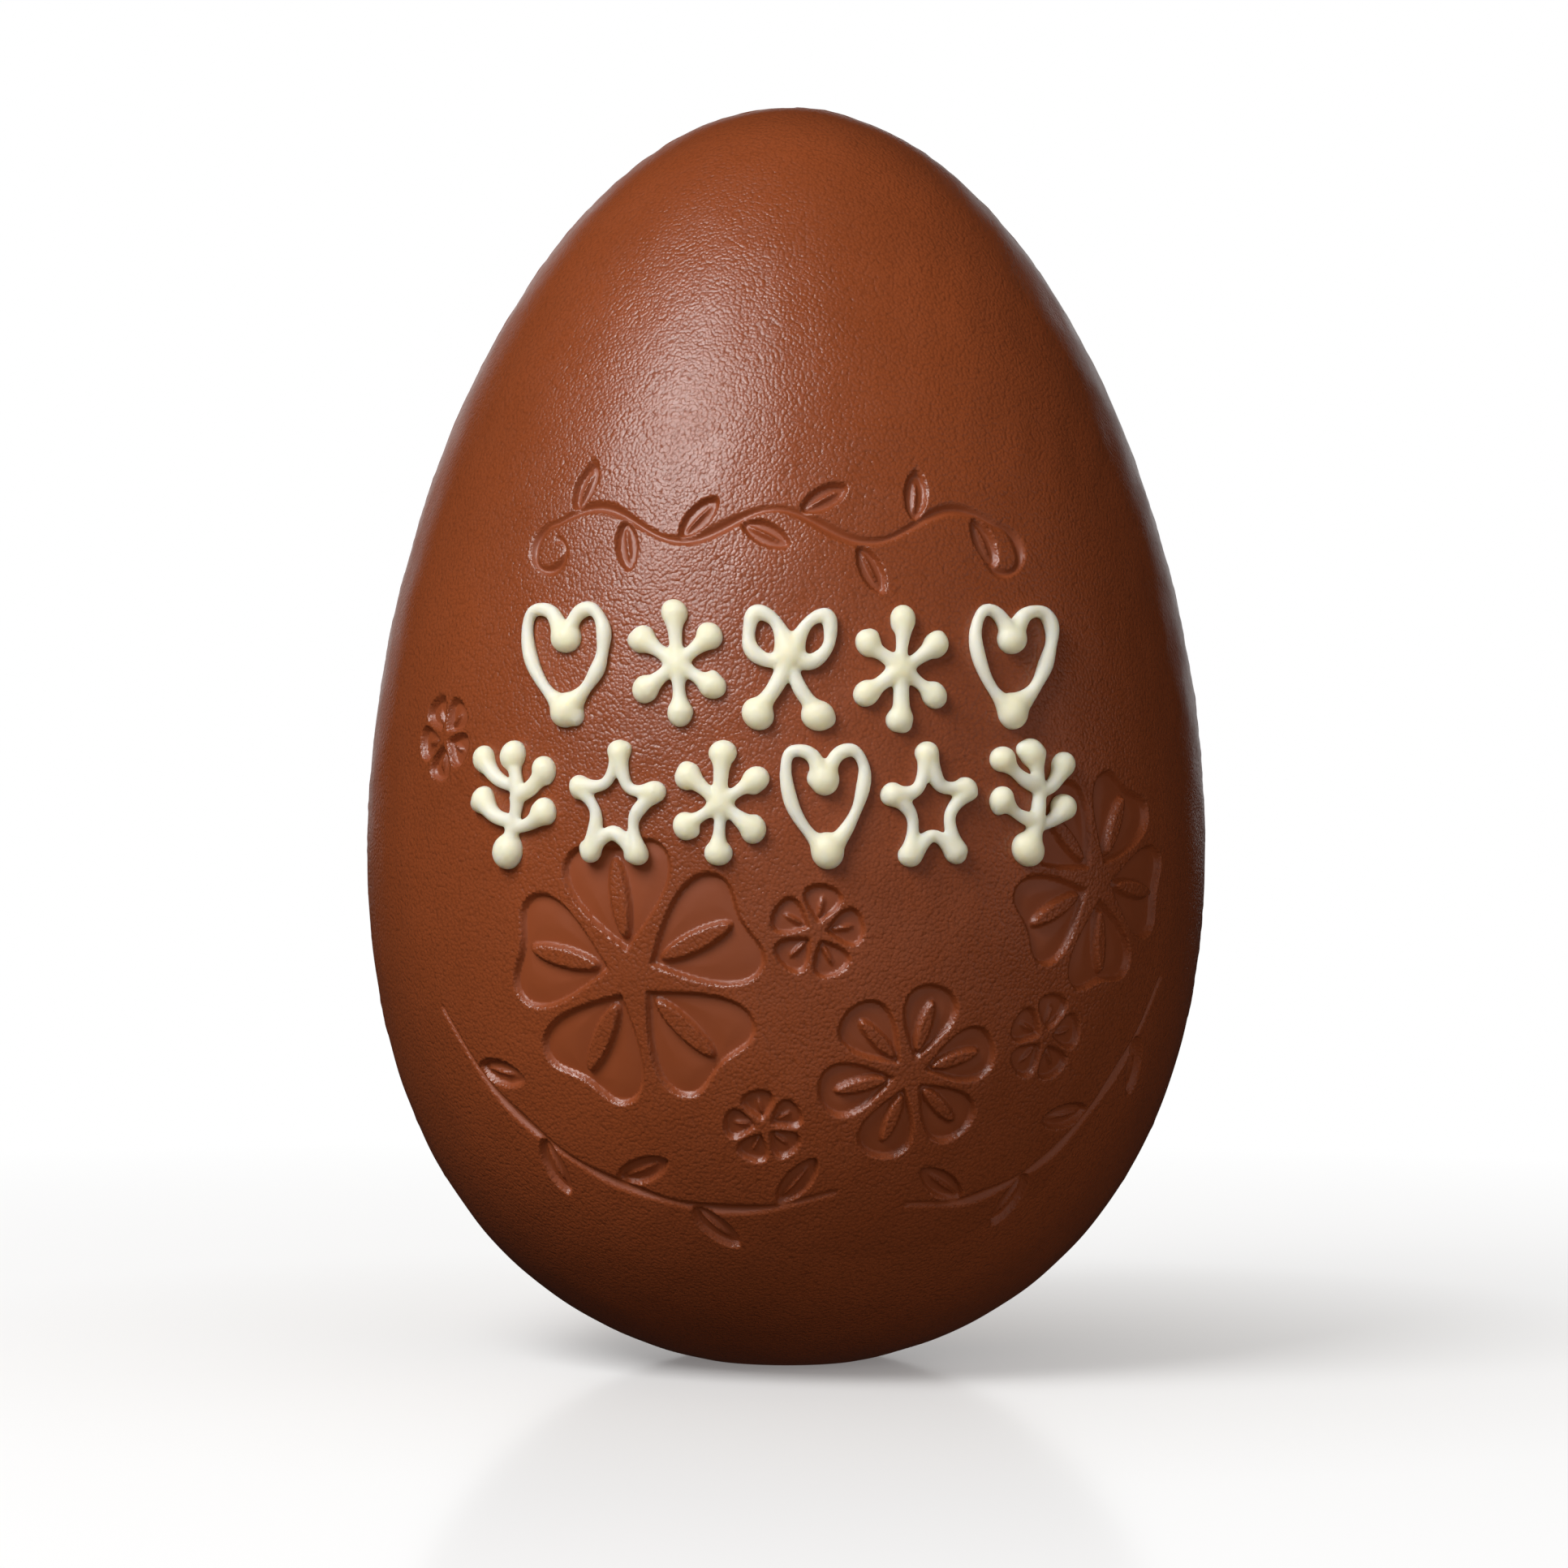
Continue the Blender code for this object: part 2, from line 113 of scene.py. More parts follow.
VINE_LEAF_ANGLE = 52
CURL_TURNS = 0.95
CURL_RADIUS_MM = 3.1
CURL_END = 0.45
VINE_STROKES = 9
STEM_STROKES = 4

# How finely curves are walked: pieces to a known span, points of the vine and of a curl, and steps
# along a stem, in degrees and mm, for its leaves and for its groove.
SPAN_PIECES = 24
VINE_POINTS = 60
CURL_POINTS = 40
LEAF_ROUTE_STEP = 1.0
GROOVE_ROUTE_STEP = 1.5

# What only the finer mesh has: how grooves thin at their ends, how far round a motif its points are
# looked for, and the seam. Waves are a count, the shortest and longest in mm, and a seed.
GROOVE_END = 0.45
GROOVE_FADE = 6.0
GROOVE_LIMIT = 1.2
MOTIF_MARGIN_MM = 1.5
CURVE_MARGIN = 1.35
SKIN_WAVES = (40, 5.0, 16.0, 3)
SEAM_WAVES = (30, 1.2, 6.0, 5)
SEAM_RAGGEDNESS = 0.45
SEAM_START_MM = 2.0
SEAM_FADE_MM = 8.0

# Snapping: the reach as a share of a mesh step, how steep the edge distance may be there, and the
# least radius, in metres, that a turn is worked out at.
SNAP_REACH = 0.45
SNAP_SLOPES = (0.6, 1.6)
LEAST_RADIUS = 1e-4

# How many mesh steps apart columns stand, by angle from the front, and rows, by height in mm.
COLUMN_STEPS = (
    (0, 1), (66, 1), (73, 4), (87, 4), (88.4, 1), (91.6, 1), (93, 4), (136, 4), (143, 1.7), (180, 1.7)
)
ROW_STEPS = (
    (0, 3.2), (8, 3.2), (12, 1), (75, 1), (79, 1.7), (86, 1.7), (90, 1), (101.5, 1), (106, 3.2), (150, 3.2)
)

# How many places the egg is sampled at to find its columns, its rows and the length of its side.
COLUMN_SAMPLES = 3601
ROW_SAMPLES = 4001
SIDE_SAMPLES = 8001

# The piped rows, as the solids have them.
PIPED_ROWS_MM = (
    (("heart", "daisy", "bow", "daisy", "heart"), -24.4, 24.8, 81.7),
    (("sprig", "star", "daisy", "heart", "star", "sprig"), -30.2, 27.2, 66.4),
)
STRAND_LIFT = 0.0005
DOT_LIFT = 0.0002
DOT_FLATNESS = 0.92
ROW_LEAN = math.radians(4)
ROW_WANDER_MM = 0.4
HAND_WANDER_MM = 0.18
HAND_SEED = 23

# How the finer strands and dots are squeezed out.
STRAND_STEP_MM = 0.25
STRAND_SIDES = 16
STRAND_SPREAD = (0.92, 1.08)
WAVER_MM = (4.0, 9.0)
LEAST_END = 0.05
DOT_SIDES = 24
DOT_CIRCLES = 15
SECOND_SIZE = 0.64
SECOND_CHANCE = 0.5
SQUEEZE_SEED = 100
CREAM_REACH = 1.3

# The egg's pieces: heights and angles where its wedges meet, the map's strip for their walls, and
# how much of it they take up.
WEDGE_HEIGHTS_MM = (103.0, 53.0, 11.0)
WEDGE_SIDE = 90.0
MAP_STRIP = 0.02
STRIP_FILL = 0.8
MAP_NAME = "OFBake"

# Milk chocolate: how far its pebble is pushed about, as a share of one grain of it, and how many
# waves that push and the finer grain have to one; the polish over which the pebble wanes; what its
# valleys and its grain add to its height; how its tone and sheen vary; and the painted shade in the
# hollows between grains: a darker copy of its colour, over part of the pebble's range.
PEBBLE_PUSH = 0.35
PUSH_SCALE = 0.55
GRAIN_SCALE = 1.7
WANING = (0.25, 0.85)
VALLEY_HEIGHT = -1.6
GRAIN_HEIGHT = 0.7
TONES = (0.95, 1.05)
TONE_SPAN = (0.35, 0.65)
PAINTED_PIT_SHADE_TONE = 0.45
PAINTED_PIT_SHADE_SPAN = (0.25, 0.75)
SHEEN_SPREAD = 0.04

# White chocolate: how much cream its thickness and its clouds add, and how its gleam varies. Then
# the roughness of the floor's mirror, and the part of a noise's range that most patterns use.
CREAM_SHARE = 0.7
CLOUDS = (-0.2, 0.35)
CLOUD_SPAN = (0.35, 0.7)
GLEAMS = (-0.05, 0.06)
MOTTLES = (0.10, 0.14)
NOISE_SPAN = (0.3, 0.7)

# Patterns in the finishes: waves of each noise to a metre, and how light passes into chocolate.
SILK_SCALE = 420.0
TONE_SCALE = 45.0
SHEEN_SCALE = 260.0
CLOUD_SCALE = 240.0
WAX_SCALE = 520.0
GLEAM_SCALE = 700.0
MOTTLE_SCALE = 6.0
CHOCOLATE_IOR = 1.45
DEEP_TINT = (1.0, 0.85, 0.6)

# Each softbox: its name, angle round and up, distance, width and height, and whether it glints.
SOFTBOXES = (
    ("key", -41.0, 41.0, 0.80, (0.42, 0.44), True),
    ("fill", 15.0, 4.0, 1.50, (2.20, 1.60), False),
    ("back", 180.0, 4.0, 1.50, (0.60, 0.60), False),
    ("strip", 72.0, 4.0, 0.80, (0.10, 0.35), True),
)
FLOOR_SIDES = 64
FLOOR_RINGS = 24
BOARD_PLACE = 1.5
BOARD_REACH = 0.6
BOARD_HEIGHT = 0.5
WHITE = (1.0, 1.0, 1.0, 1.0)
SENSOR_MM = 36.0
CAMERA_CLIP = (0.01, 50.0)


def egg_profile(down):
    """Radius and height of the egg's side at an angle down from its tip, and the outward direction.

    Radius is half the width times sin(down) times 1 + b1 t + b2 t^2 + b3 t^3, where t is
    -cos(down). Height runs as the cosine, from the tip to just under the foot.
    """
    t = -np.cos(down)
    swell = 1.0 + BULGE[0] * t + BULGE[1] * t**2 + BULGE[2] * t**3
    gain = BULGE[0] + 2.0 * BULGE[1] * t + 3.0 * BULGE[2] * t**2
    sine = np.sin(down)
    radius = HALF_WIDTH * sine * swell
    height = 0.5 * CURVE_HEIGHT * (1.0 + np.cos(down)) - FOOT_TRIM
    out_r = 0.5 * CURVE_HEIGHT * sine
    out_z = HALF_WIDTH * (np.cos(down) * swell + sine**2 * gain)
    length = np.hypot(out_r, out_z)
    return radius, height, out_r / length, out_z / length


def down_at(height):
    """The angle down from the tip at which the egg's side has this height."""
    return np.arccos(np.clip(2.0 * (np.asarray(height) + FOOT_TRIM) / CURVE_HEIGHT - 1.0, -1.0, 1.0))


def on_egg(turn, down, lift=0.0):
    """Points of the egg's side at these angles round and down, moved outward by lift."""
    radius, height, out_r, out_z = egg_profile(down)
    reach = radius + lift * out_r
    x = reach * np.sin(turn)
    y = -reach * np.cos(turn)
    return np.stack((x, y, height + lift * out_z + 0.0 * turn), axis=-1)


def on_front(x, z, lift):
    """The points of the egg's front seen at (x, z), moved outward by lift."""
    down = down_at(z)
    return on_egg(np.arcsin(x / egg_profile(down)[0]), down, lift)


def tangent_frame(turn, height):
    """The point at this angle and height, and the directions along the girth, up the side and out."""
    down = down_at(height)
    _, _, out_r, out_z = egg_profile(down)
    along = np.array((math.cos(turn), math.sin(turn), 0.0))
    outward = np.array((out_r * math.sin(turn), -out_r * math.cos(turn), out_z))
    return on_egg(turn, down), along, np.cross(outward, along), outward


def around(count):
    """Angles spread evenly over a full turn."""
    return np.linspace(0.0, math.tau, count, endpoint=False)


def unit(vectors):
    """The vectors made one long."""
    return vectors / np.linalg.norm(vectors, axis=-1, keepdims=True)


def pointed_outline(length, width, steps=OUTLINE_STEPS):
    """A leaf's outline along +X, pointed at both ends: its width follows sin^(1 + taper)."""
    turns = around(steps)
    across = 0.5 * width * np.sin(turns) * np.abs(np.sin(turns)) ** POINTED_TAPER
    return np.column_stack((0.5 * length * (1.0 - np.cos(turns)), across))


def petal_outline(length, width, notch, steps=OUTLINE_STEPS):
    """A petal's outline along +X: narrow at its foot, round at its tip, with a notch there.

    Its width follows sin(t) |sin(t/2)|^taper, and a bell curve dents its tip.
    """
    turns = around(steps)
    across = width * np.sin(turns) * np.abs(np.sin(0.5 * turns)) ** PETAL_TAPER
    along = 0.5 * length * (1.0 - np.cos(turns))
    dent = notch * length * np.exp(-(((turns - math.pi) / NOTCH_SPREAD) ** 2))
    return np.column_stack((along - dent, across))


def placed(outline, foot, direction):
    """The outline turned to its direction, with its foot at that point."""
    cosine = math.cos(direction)
    sine = math.sin(direction)
    x = foot[0] + outline[:, 0] * cosine - outline[:, 1] * sine
    y = foot[1] + outline[:, 0] * sine + outline[:, 1] * cosine
    return np.column_stack((x, y))


def blossom_outlines(radius, petals, turn, notch):
    """The blossom's petal outlines and its rib outlines, round its middle, in mm."""
    small = radius < SMALL_BLOSSOM_MM
    petal = petal_outline((1.0 - PETAL_START) * radius, PETAL_WIDTHS[petals] * radius, notch)
    rib = pointed_outline(RIB_LENGTH * radius, (SMALL_RIB_WIDTH if small else RIB_WIDTH) * radius)
    edges = []
    ribs = []
    for i in range(petals):
        direction = math.radians(turn) + math.tau * i / petals
        heading = radius * np.array((math.cos(direction), math.sin(direction)))
        edges.append(placed(petal, PETAL_START * heading, direction))
        ribs.append(placed(rib, RIB_START * heading, direction))
    return edges, ribs


def smooth_route(points, step):
    """Evenly spaced points on the Catmull-Rom curve through the route's own points."""
    known = np.array(points, float)
    padded = np.vstack((2 * known[:1] - known[1:2], known, 2 * known[-1:] - known[-2:-1]))
    t = np.linspace(0.0, 1.0, SPAN_PIECES, endpoint=False)[:, None]
    fine = []
    for i in range(len(known) - 1):
        a, b, c, d = padded[i : i + 4]
        cubic = -a + 3 * b - 3 * c + d
        fine.append(0.5 * (2 * b + (c - a) * t + (2 * a - 5 * b + 4 * c - d) * t**2 + cubic * t**3))
    fine.append(known[-1:])
    fine = np.vstack(fine)
    walked = np.concatenate(([0.0], np.cumsum(np.linalg.norm(np.diff(fine, axis=0), axis=1))))
    count = max(2, round(walked[-1] / step) + 1)
    at = np.linspace(0.0, walked[-1], count)
    return np.column_stack([np.interp(at, walked, axis) for axis in fine.T])


def vine_route():
    """The vine's wavy stem in degrees and mm, with a curl at each end."""
    t = np.linspace(0.0, 1.0, VINE_POINTS)
    turns = VINE_LEFT + (VINE_RIGHT - VINE_LEFT) * t
    heights = VINE_HEIGHT_MM + VINE_SWING_MM * np.sin(math.tau * VINE_WAVES * t)
    wave = np.column_stack((turns, heights))
    sweep = np.linspace(0.0, math.tau * CURL_TURNS, CURL_POINTS)[1:]
    reach = CURL_RADIUS_MM * (1.0 + (CURL_END - 1.0) * sweep / sweep[-1])
    per_degree = mm_per_degree(VINE_HEIGHT_MM)
    across = reach * np.sin(sweep) / per_degree
    up = CURL_RADIUS_MM - reach * np.cos(sweep)
    right = wave[-1] + np.column_stack((across, -up))
    left = wave[0] + np.column_stack((-across, -up))
    return np.vstack((left[::-1], wave, right))


def mm_per_degree(height_mm):
    """How far one degree round the egg is at this height."""
    return float(math.radians(egg_profile(down_at(height_mm * MM))[0])) / MM


def stem_leaves(route, shares, angle, size):
    """Leaves that stand off a stem, one to its left and the next to its right.

    Each is its foot, in degrees and mm, its outline and its vein's outline from there.
    """
    leaves = []
    for i, share in enumerate(shares):
        at = share * (len(route) - 1)
        before = route[int(at)]
        after = route[int(at) + 1]
        foot = before + (after - before) * (at - int(at))
        heading = math.atan2(after[1] - before[1], (after[0] - before[0]) * mm_per_degree(foot[1]))
        direction = heading + math.radians(angle if i % 2 == 0 else -angle)
        ahead = np.array((math.cos(direction), math.sin(direction)))
        edge = placed(pointed_outline(*size), GROOVE_RADIUS / MM * ahead, direction)
        vein_start = (GROOVE_RADIUS / MM + LEAF_VEIN_START * size[0]) * ahead
        vein = pointed_outline(LEAF_VEIN_LENGTH * size[0], LEAF_VEIN_WIDTH * size[1])
        leaves.append((foot, edge, placed(vein, vein_start, direction)))
    return leaves


def edge_distance(points, outline):
    """Distance from each point to a closed outline, less than nothing inside it.

    The distance is to the nearest of the outline's straight pieces. A point is inside where a
    line from it crosses the outline an odd number of times.
    """
    start = outline
    end = np.roll(outline, -1, axis=0)
    run = end - start
    x = points[:, None, 0] - start[None, :, 0]
    y = points[:, None, 1] - start[None, :, 1]
    share = np.clip((x * run[:, 0] + y * run[:, 1]) / (run**2).sum(axis=1), 0.0, 1.0)
    away = np.sqrt(((x - share * run[:, 0]) ** 2 + (y - share * run[:, 1]) ** 2).min(axis=1))
    rising = (start[None, :, 1] > points[:, None, 1]) != (end[None, :, 1] > points[:, None, 1])
    drop = np.where(run[:, 1] == 0.0, 1.0, run[:, 1])
    crossed = rising & (x < y * run[:, 0] / drop)
    return np.where(crossed.sum(axis=1) % 2 == 1, -away, away)


def route_distance(points, route):
    """Distance from each point to a route of straight pieces, and the share of it walked there."""
    start = route[:-1]
    run = np.diff(route, axis=0)
    offset = points[:, None, :] - start[None, :, :]
    share = np.clip((offset * run).sum(axis=2) / (run**2).sum(axis=1), 0.0, 1.0)
    away = np.linalg.norm(offset - share[:, :, None] * run, axis=2)
    closest = away.argmin(axis=1)
    rows = np.arange(len(points))
    return away[rows, closest], (closest + share[rows, closest]) / len(run)


def smooth_step(x):
    """0 below 0, 1 above 1, and 3x^2 - 2x^3 between."""
    x = np.clip(x, 0.0, 1.0)
    return x * x * (3.0 - 2.0 * x)


def relief_motifs():
    """Every recessed motif: its middle or foot in degrees and mm, its reach in mm, edges and ribs."""
    motifs = []
    for turn, height, radius, petals, tilt, notch in BLOSSOMS:
        edges, ribs = blossom_outlines(radius, petals, tilt, notch)
        motifs.append((turn, height, radius, edges, ribs, radius >= SMALL_BLOSSOM_MM))
    routes = [(vine_route(), VINE_LEAF_SHARES, VINE_LEAF_ANGLE, VINE_LEAF_MM)]
    for stem, shares in zip(STEMS, STEM_LEAVES):
        route = smooth_route(stem, LEAF_ROUTE_STEP)
        routes.append((route, shares, STEM_LEAF_ANGLE, STEM_LEAF_MM))
    for route, shares, angle, size in routes:
        for foot, edge, vein in stem_leaves(route, shares, angle, size):
            motifs.append((foot[0], foot[1], size[0] + 1.0, [edge], [vein], False))
    return motifs


def groove_routes():
    """The vine and the stems as points on the egg, with how many thick strokes each one has."""
    routes = [(vine_route(), VINE_STROKES)]
    routes += [(smooth_route(stem, GROOVE_ROUTE_STEP), STEM_STROKES) for stem in STEMS]
    return [(on_egg(np.radians(r[:, 0]), down_at(r[:, 1] * MM)), strokes) for r, strokes in routes]


def near(turn, height, middle_turn, middle_height, reach):
    """True where a point of the egg may lie within reach of another one."""
    off = np.abs((turn - middle_turn + math.pi) % (math.tau) - math.pi)
    girth = float(egg_profile(down_at(middle_height))[0])
    return (np.abs(height - middle_height) < reach) & (off * girth < CURVE_MARGIN * reach)


def relief_fields(turn, down, settings):
    """For points of the egg's side: distance to the nearest recess edge, low ribs and grooves.

    Recess distance is less than nothing inside a petal or leaf, and a large blossom's ribs stand
    in it as islands. Rib and groove are 0 to 1.
    """
    height = egg_profile(down)[1]
    places = on_egg(turn, down)
    edge = np.full(turn.shape, 1.0)
    rib = np.zeros(turn.shape)
    groove = np.zeros(turn.shape)
    for middle, level, reach, edges, ribs, islands in relief_motifs():
        origin, along, upward, _ = tangent_frame(math.radians(middle), level * MM)
        spot = near(turn, height, math.radians(middle), level * MM, (reach + MOTIF_MARGIN_MM) * MM)
        flat = (places[spot] - origin) @ np.column_stack((along, upward)) / MM
        inside = np.minimum.reduce([edge_distance(flat, outline) for outline in edges]) * MM
        crest = np.minimum.reduce([edge_distance(flat, outline) for outline in ribs]) * MM
        if islands:
            inside = np.maximum(inside, -crest)
        else:
            rise = smooth_step(-crest / settings.low_rib_slope)
            rib[spot] = np.maximum(rib[spot], rise)
        edge[spot] = np.minimum(edge[spot], inside)
    for route, strokes in groove_routes():
        margin = 3.0 * settings.groove_width
        spot = (places > route.min(axis=0) - margin) & (places < route.max(axis=0) + margin)
        spot = spot.all(axis=-1)
        away, walked = route_distance(places[spot], route)
        taper = smooth_step(GROOVE_FADE * np.minimum(walked, 1.0 - walked))
        taper = GROOVE_END + (1.0 - GROOVE_END) * taper
        taper *= 1.0 + settings.nib * np.cos(math.tau * strokes * walked)
        half = 0.5 * settings.groove_width * taper
        hollow = 0.5 + 0.5 * np.cos(math.pi * np.clip(away / half, 0.0, 1.0))
        groove[spot] = np.maximum(groove[spot], np.minimum(taper, GROOVE_LIMIT) * hollow)
    return edge, rib, groove


def waves(points, count, shortest, longest, seed):
    """A gentle unevenness about 0: a sum of cosine waves, in mm, that run in random directions."""
    rng = np.random.default_rng(seed)
    total = np.zeros(points.shape[:-1])
    for _ in range(count):
        heading = rng.normal(size=3)
        heading /= np.linalg.norm(heading)
        length = rng.uniform(shortest * MM, longest * MM)
        total += np.cos(math.tau * (points @ heading) / length + rng.uniform(0.0, math.tau))
    return total / math.sqrt(0.5 * count)


def graded(fine, steps):
    """Places along a line that stand a local step apart: the running sum of 1 / step, at whole numbers."""
    gained = np.diff(fine) / (0.5 * (steps[1:] + steps[:-1]))
    count = np.concatenate(([0.0], np.cumsum(gained)))
    whole = np.linspace(0.0, count[-1], round(count[-1]) + 1)
    return np.interp(whole, count, fine)


def egg_columns(settings):
    """Angles of the mesh's columns: close over the front and at the seams, wider between them."""
    fine = np.radians(np.linspace(-180.0, 180.0, COLUMN_SAMPLES))
    factors = np.interp(np.abs(np.degrees(fine)), *np.transpose(COLUMN_STEPS))
    return graded(fine, settings.mesh_step * factors / HALF_WIDTH)[:-1]


def egg_rows(settings):
    """Angles down the egg of the mesh's rows, tip first: close where there is relief."""
    fine = np.linspace(0.0, float(down_at(0.0)), ROW_SAMPLES)
    heights, factors = np.transpose(ROW_STEPS)
    walked = side_walk(fine)
    steps = settings.mesh_step * np.interp(egg_profile(fine)[1], heights * MM, factors)
    return np.interp(graded(walked, steps), walked, fine)


def side_walk(down):
    """The length of the egg's side from its tip to each of these angles down."""
    radius, height, _, _ = egg_profile(down)
    return np.concatenate(([0.0], np.cumsum(np.hypot(np.diff(radius), np.diff(height)))))


def snapped(turn, down, settings):
    """Slides the mesh's points that lie near a recess's two rims onto them, so that rims are crisp.

    A point moves against the slope of the edge distance, by what it lacks to the rim, where that
    is less than half a mesh step.
    """
    edge, _, _ = relief_fields(turn, down, settings)
    fine = np.linspace(0.0, math.pi, SIDE_SAMPLES)
    walked = side_walk(fine)
    along = np.interp(down, fine, walked)
    radius = np.maximum(egg_profile(down)[0], LEAST_RADIUS)
    by_turn = np.gradient(edge, turn[0], axis=1) / radius
    by_down = np.gradient(edge, along[:, 0], axis=0)
    steep = by_turn**2 + by_down**2
    gap_turn = np.gradient(turn, axis=1) * radius
    gap_down = np.gradient(along, axis=0)
    reach = SNAP_REACH * np.minimum(gap_turn, gap_down)
    sound = (steep > SNAP_SLOPES[0]) & (steep < SNAP_SLOPES[1])
    moved = np.zeros(edge.shape, bool)
    step = np.zeros(edge.shape)
    for rim in (0.0, -settings.rim_width):
        lack = rim - edge
        close = (np.abs(lack) < reach) & ~moved & sound
        step = np.where(close, lack, step)
        moved |= close
    steep = np.maximum(steep, 0.5)
    new_turn = turn + step * by_turn / steep / radius
    new_down = np.interp(along + step * by_down / steep, walked, fine)
    return new_turn, new_down


def egg_surface(settings):
    """Points, normals and polish of the whole egg's side, as a grid of rows down and columns round.

    Each point of the plain side moves in by the recess's depth, less its ribs, or by the groove's,
    whichever is more, and out by the mould's seam and a slight unevenness.
    """
    columns = egg_columns(settings)
    rows = egg_rows(settings)[1:]
    turn, down = (grid.copy() for grid in np.meshgrid(columns, rows))
    turn, down = snapped(turn, down, settings)
    edge, rib, groove = relief_fields(turn, down, settings)
    sunk = smooth_step(-edge / settings.rim_width)
    dome = smooth_step((-edge - settings.rim_width) / settings.dome_width)
    recess = settings.petal_depth * sunk * (1.0 - settings.dome_share * dome)
    recess -= settings.petal_depth * settings.low_rib_share * rib * sunk
    hollow = settings.groove_depth * groove
    depth = np.maximum(recess, hollow)
    plain = on_egg(turn, down)
    uneven = settings.unevenness * waves(plain, *SKIN_WAVES)
    off_seam = np.abs(plain[..., 1])
    ragged = 1.0 + SEAM_RAGGEDNESS * waves(plain, *SEAM_WAVES)
    seam = settings.seam_height * np.exp(-((off_seam / settings.seam_width) ** 2)) * ragged
    seam *= smooth_step((plain[..., 2] / MM - SEAM_START_MM) / SEAM_FADE_MM)
    points = on_egg(turn, down, -depth + uneven + seam)
    points[-1] = on_egg(turn[-1], down[-1])
    polish = np.maximum(sunk * (1.0 - rib), smooth_step(2.0 * groove))
    return points, grid_normals(points), polish, turn, down


def grid_normals(points):
    """Outward directions of a grid that closes round: the cross product of its two central steps."""
    round_step = np.roll(points, -1, axis=1) - np.roll(points, 1, axis=1)
    down_step = np.gradient(points, axis=0)
    return unit(np.cross(down_step, round_step))


def patch_triangles(index, depth):
    """Two triangles for each cell of a grid of point numbers, split along the more level diagonal."""
    a, b = index[:-1, :-1], index[:-1, 1:]
    d, c = index[1:, :-1], index[1:, 1:]
    level = np.abs(depth[:-1, :-1] - depth[1:, 1:]) <= np.abs(depth[:-1, 1:] - depth[1:, :-1])
    first = np.where(level[..., None], np.stack((a, d, c), -1), np.stack((a, d, b), -1))
    second = np.where(level[..., None], np.stack((a, c, b), -1), np.stack((d, c, b), -1))
    return np.concatenate((first.reshape(-1, 3), second.reshape(-1, 3)))


def fan(loop, tip):
    """Triangles from each pair of neighbours on a closed loop of point numbers to one point."""
    return np.column_stack((loop, np.roll(loop, -1), np.full(len(loop), tip)))


def closed(grid):
    """The grid with its first column again after its last."""
    return np.column_stack((grid, grid[:, :1]))


def border(index):
    """The point numbers round a grid's edge, clockwise as seen from outside."""
    return np.concatenate((index[0], index[1:, -1], index[-1, -2::-1], index[-2:0:-1, 0]))


def new_mesh(name, points, triangles):
    """A mesh of these points and triangles, written as whole arrays."""
    mesh = bpy.data.meshes.new(name)
    mesh.vertices.add(len(points))
    mesh.vertices.foreach_set("co", np.ascontiguousarray(points, np.float32).ravel())
    mesh.loops.add(triangles.size)
    mesh.loops.foreach_set("vertex_index", np.ascontiguousarray(triangles, np.int32).ravel())
    mesh.polygons.add(len(triangles))
    mesh.polygons.foreach_set("loop_start", np.arange(0, triangles.size, 3, dtype=np.int32))
    mesh.update(calc_edges=True)
    return mesh


def add_value(mesh, name, values):
    """Stores one number for each point, which the finish reads by its name."""
    mesh.attributes.new(name, "FLOAT", "POINT").data.foreach_set("value", np.float32(values))


def new_object(name, data):
    """An object at the scene's origin with this data."""
    made = bpy.data.objects.new(name, data)
    bpy.context.scene.collection.objects.link(made)
    return made


def add_piece(name, mesh, finish, node):
    """Links a finished mesh at the origin, rides it on the body and lets it stand for its solid."""
    mesh.materials.append(finish)
    piece = new_object(name, mesh)
    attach(piece, BODY)
    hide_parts(node)


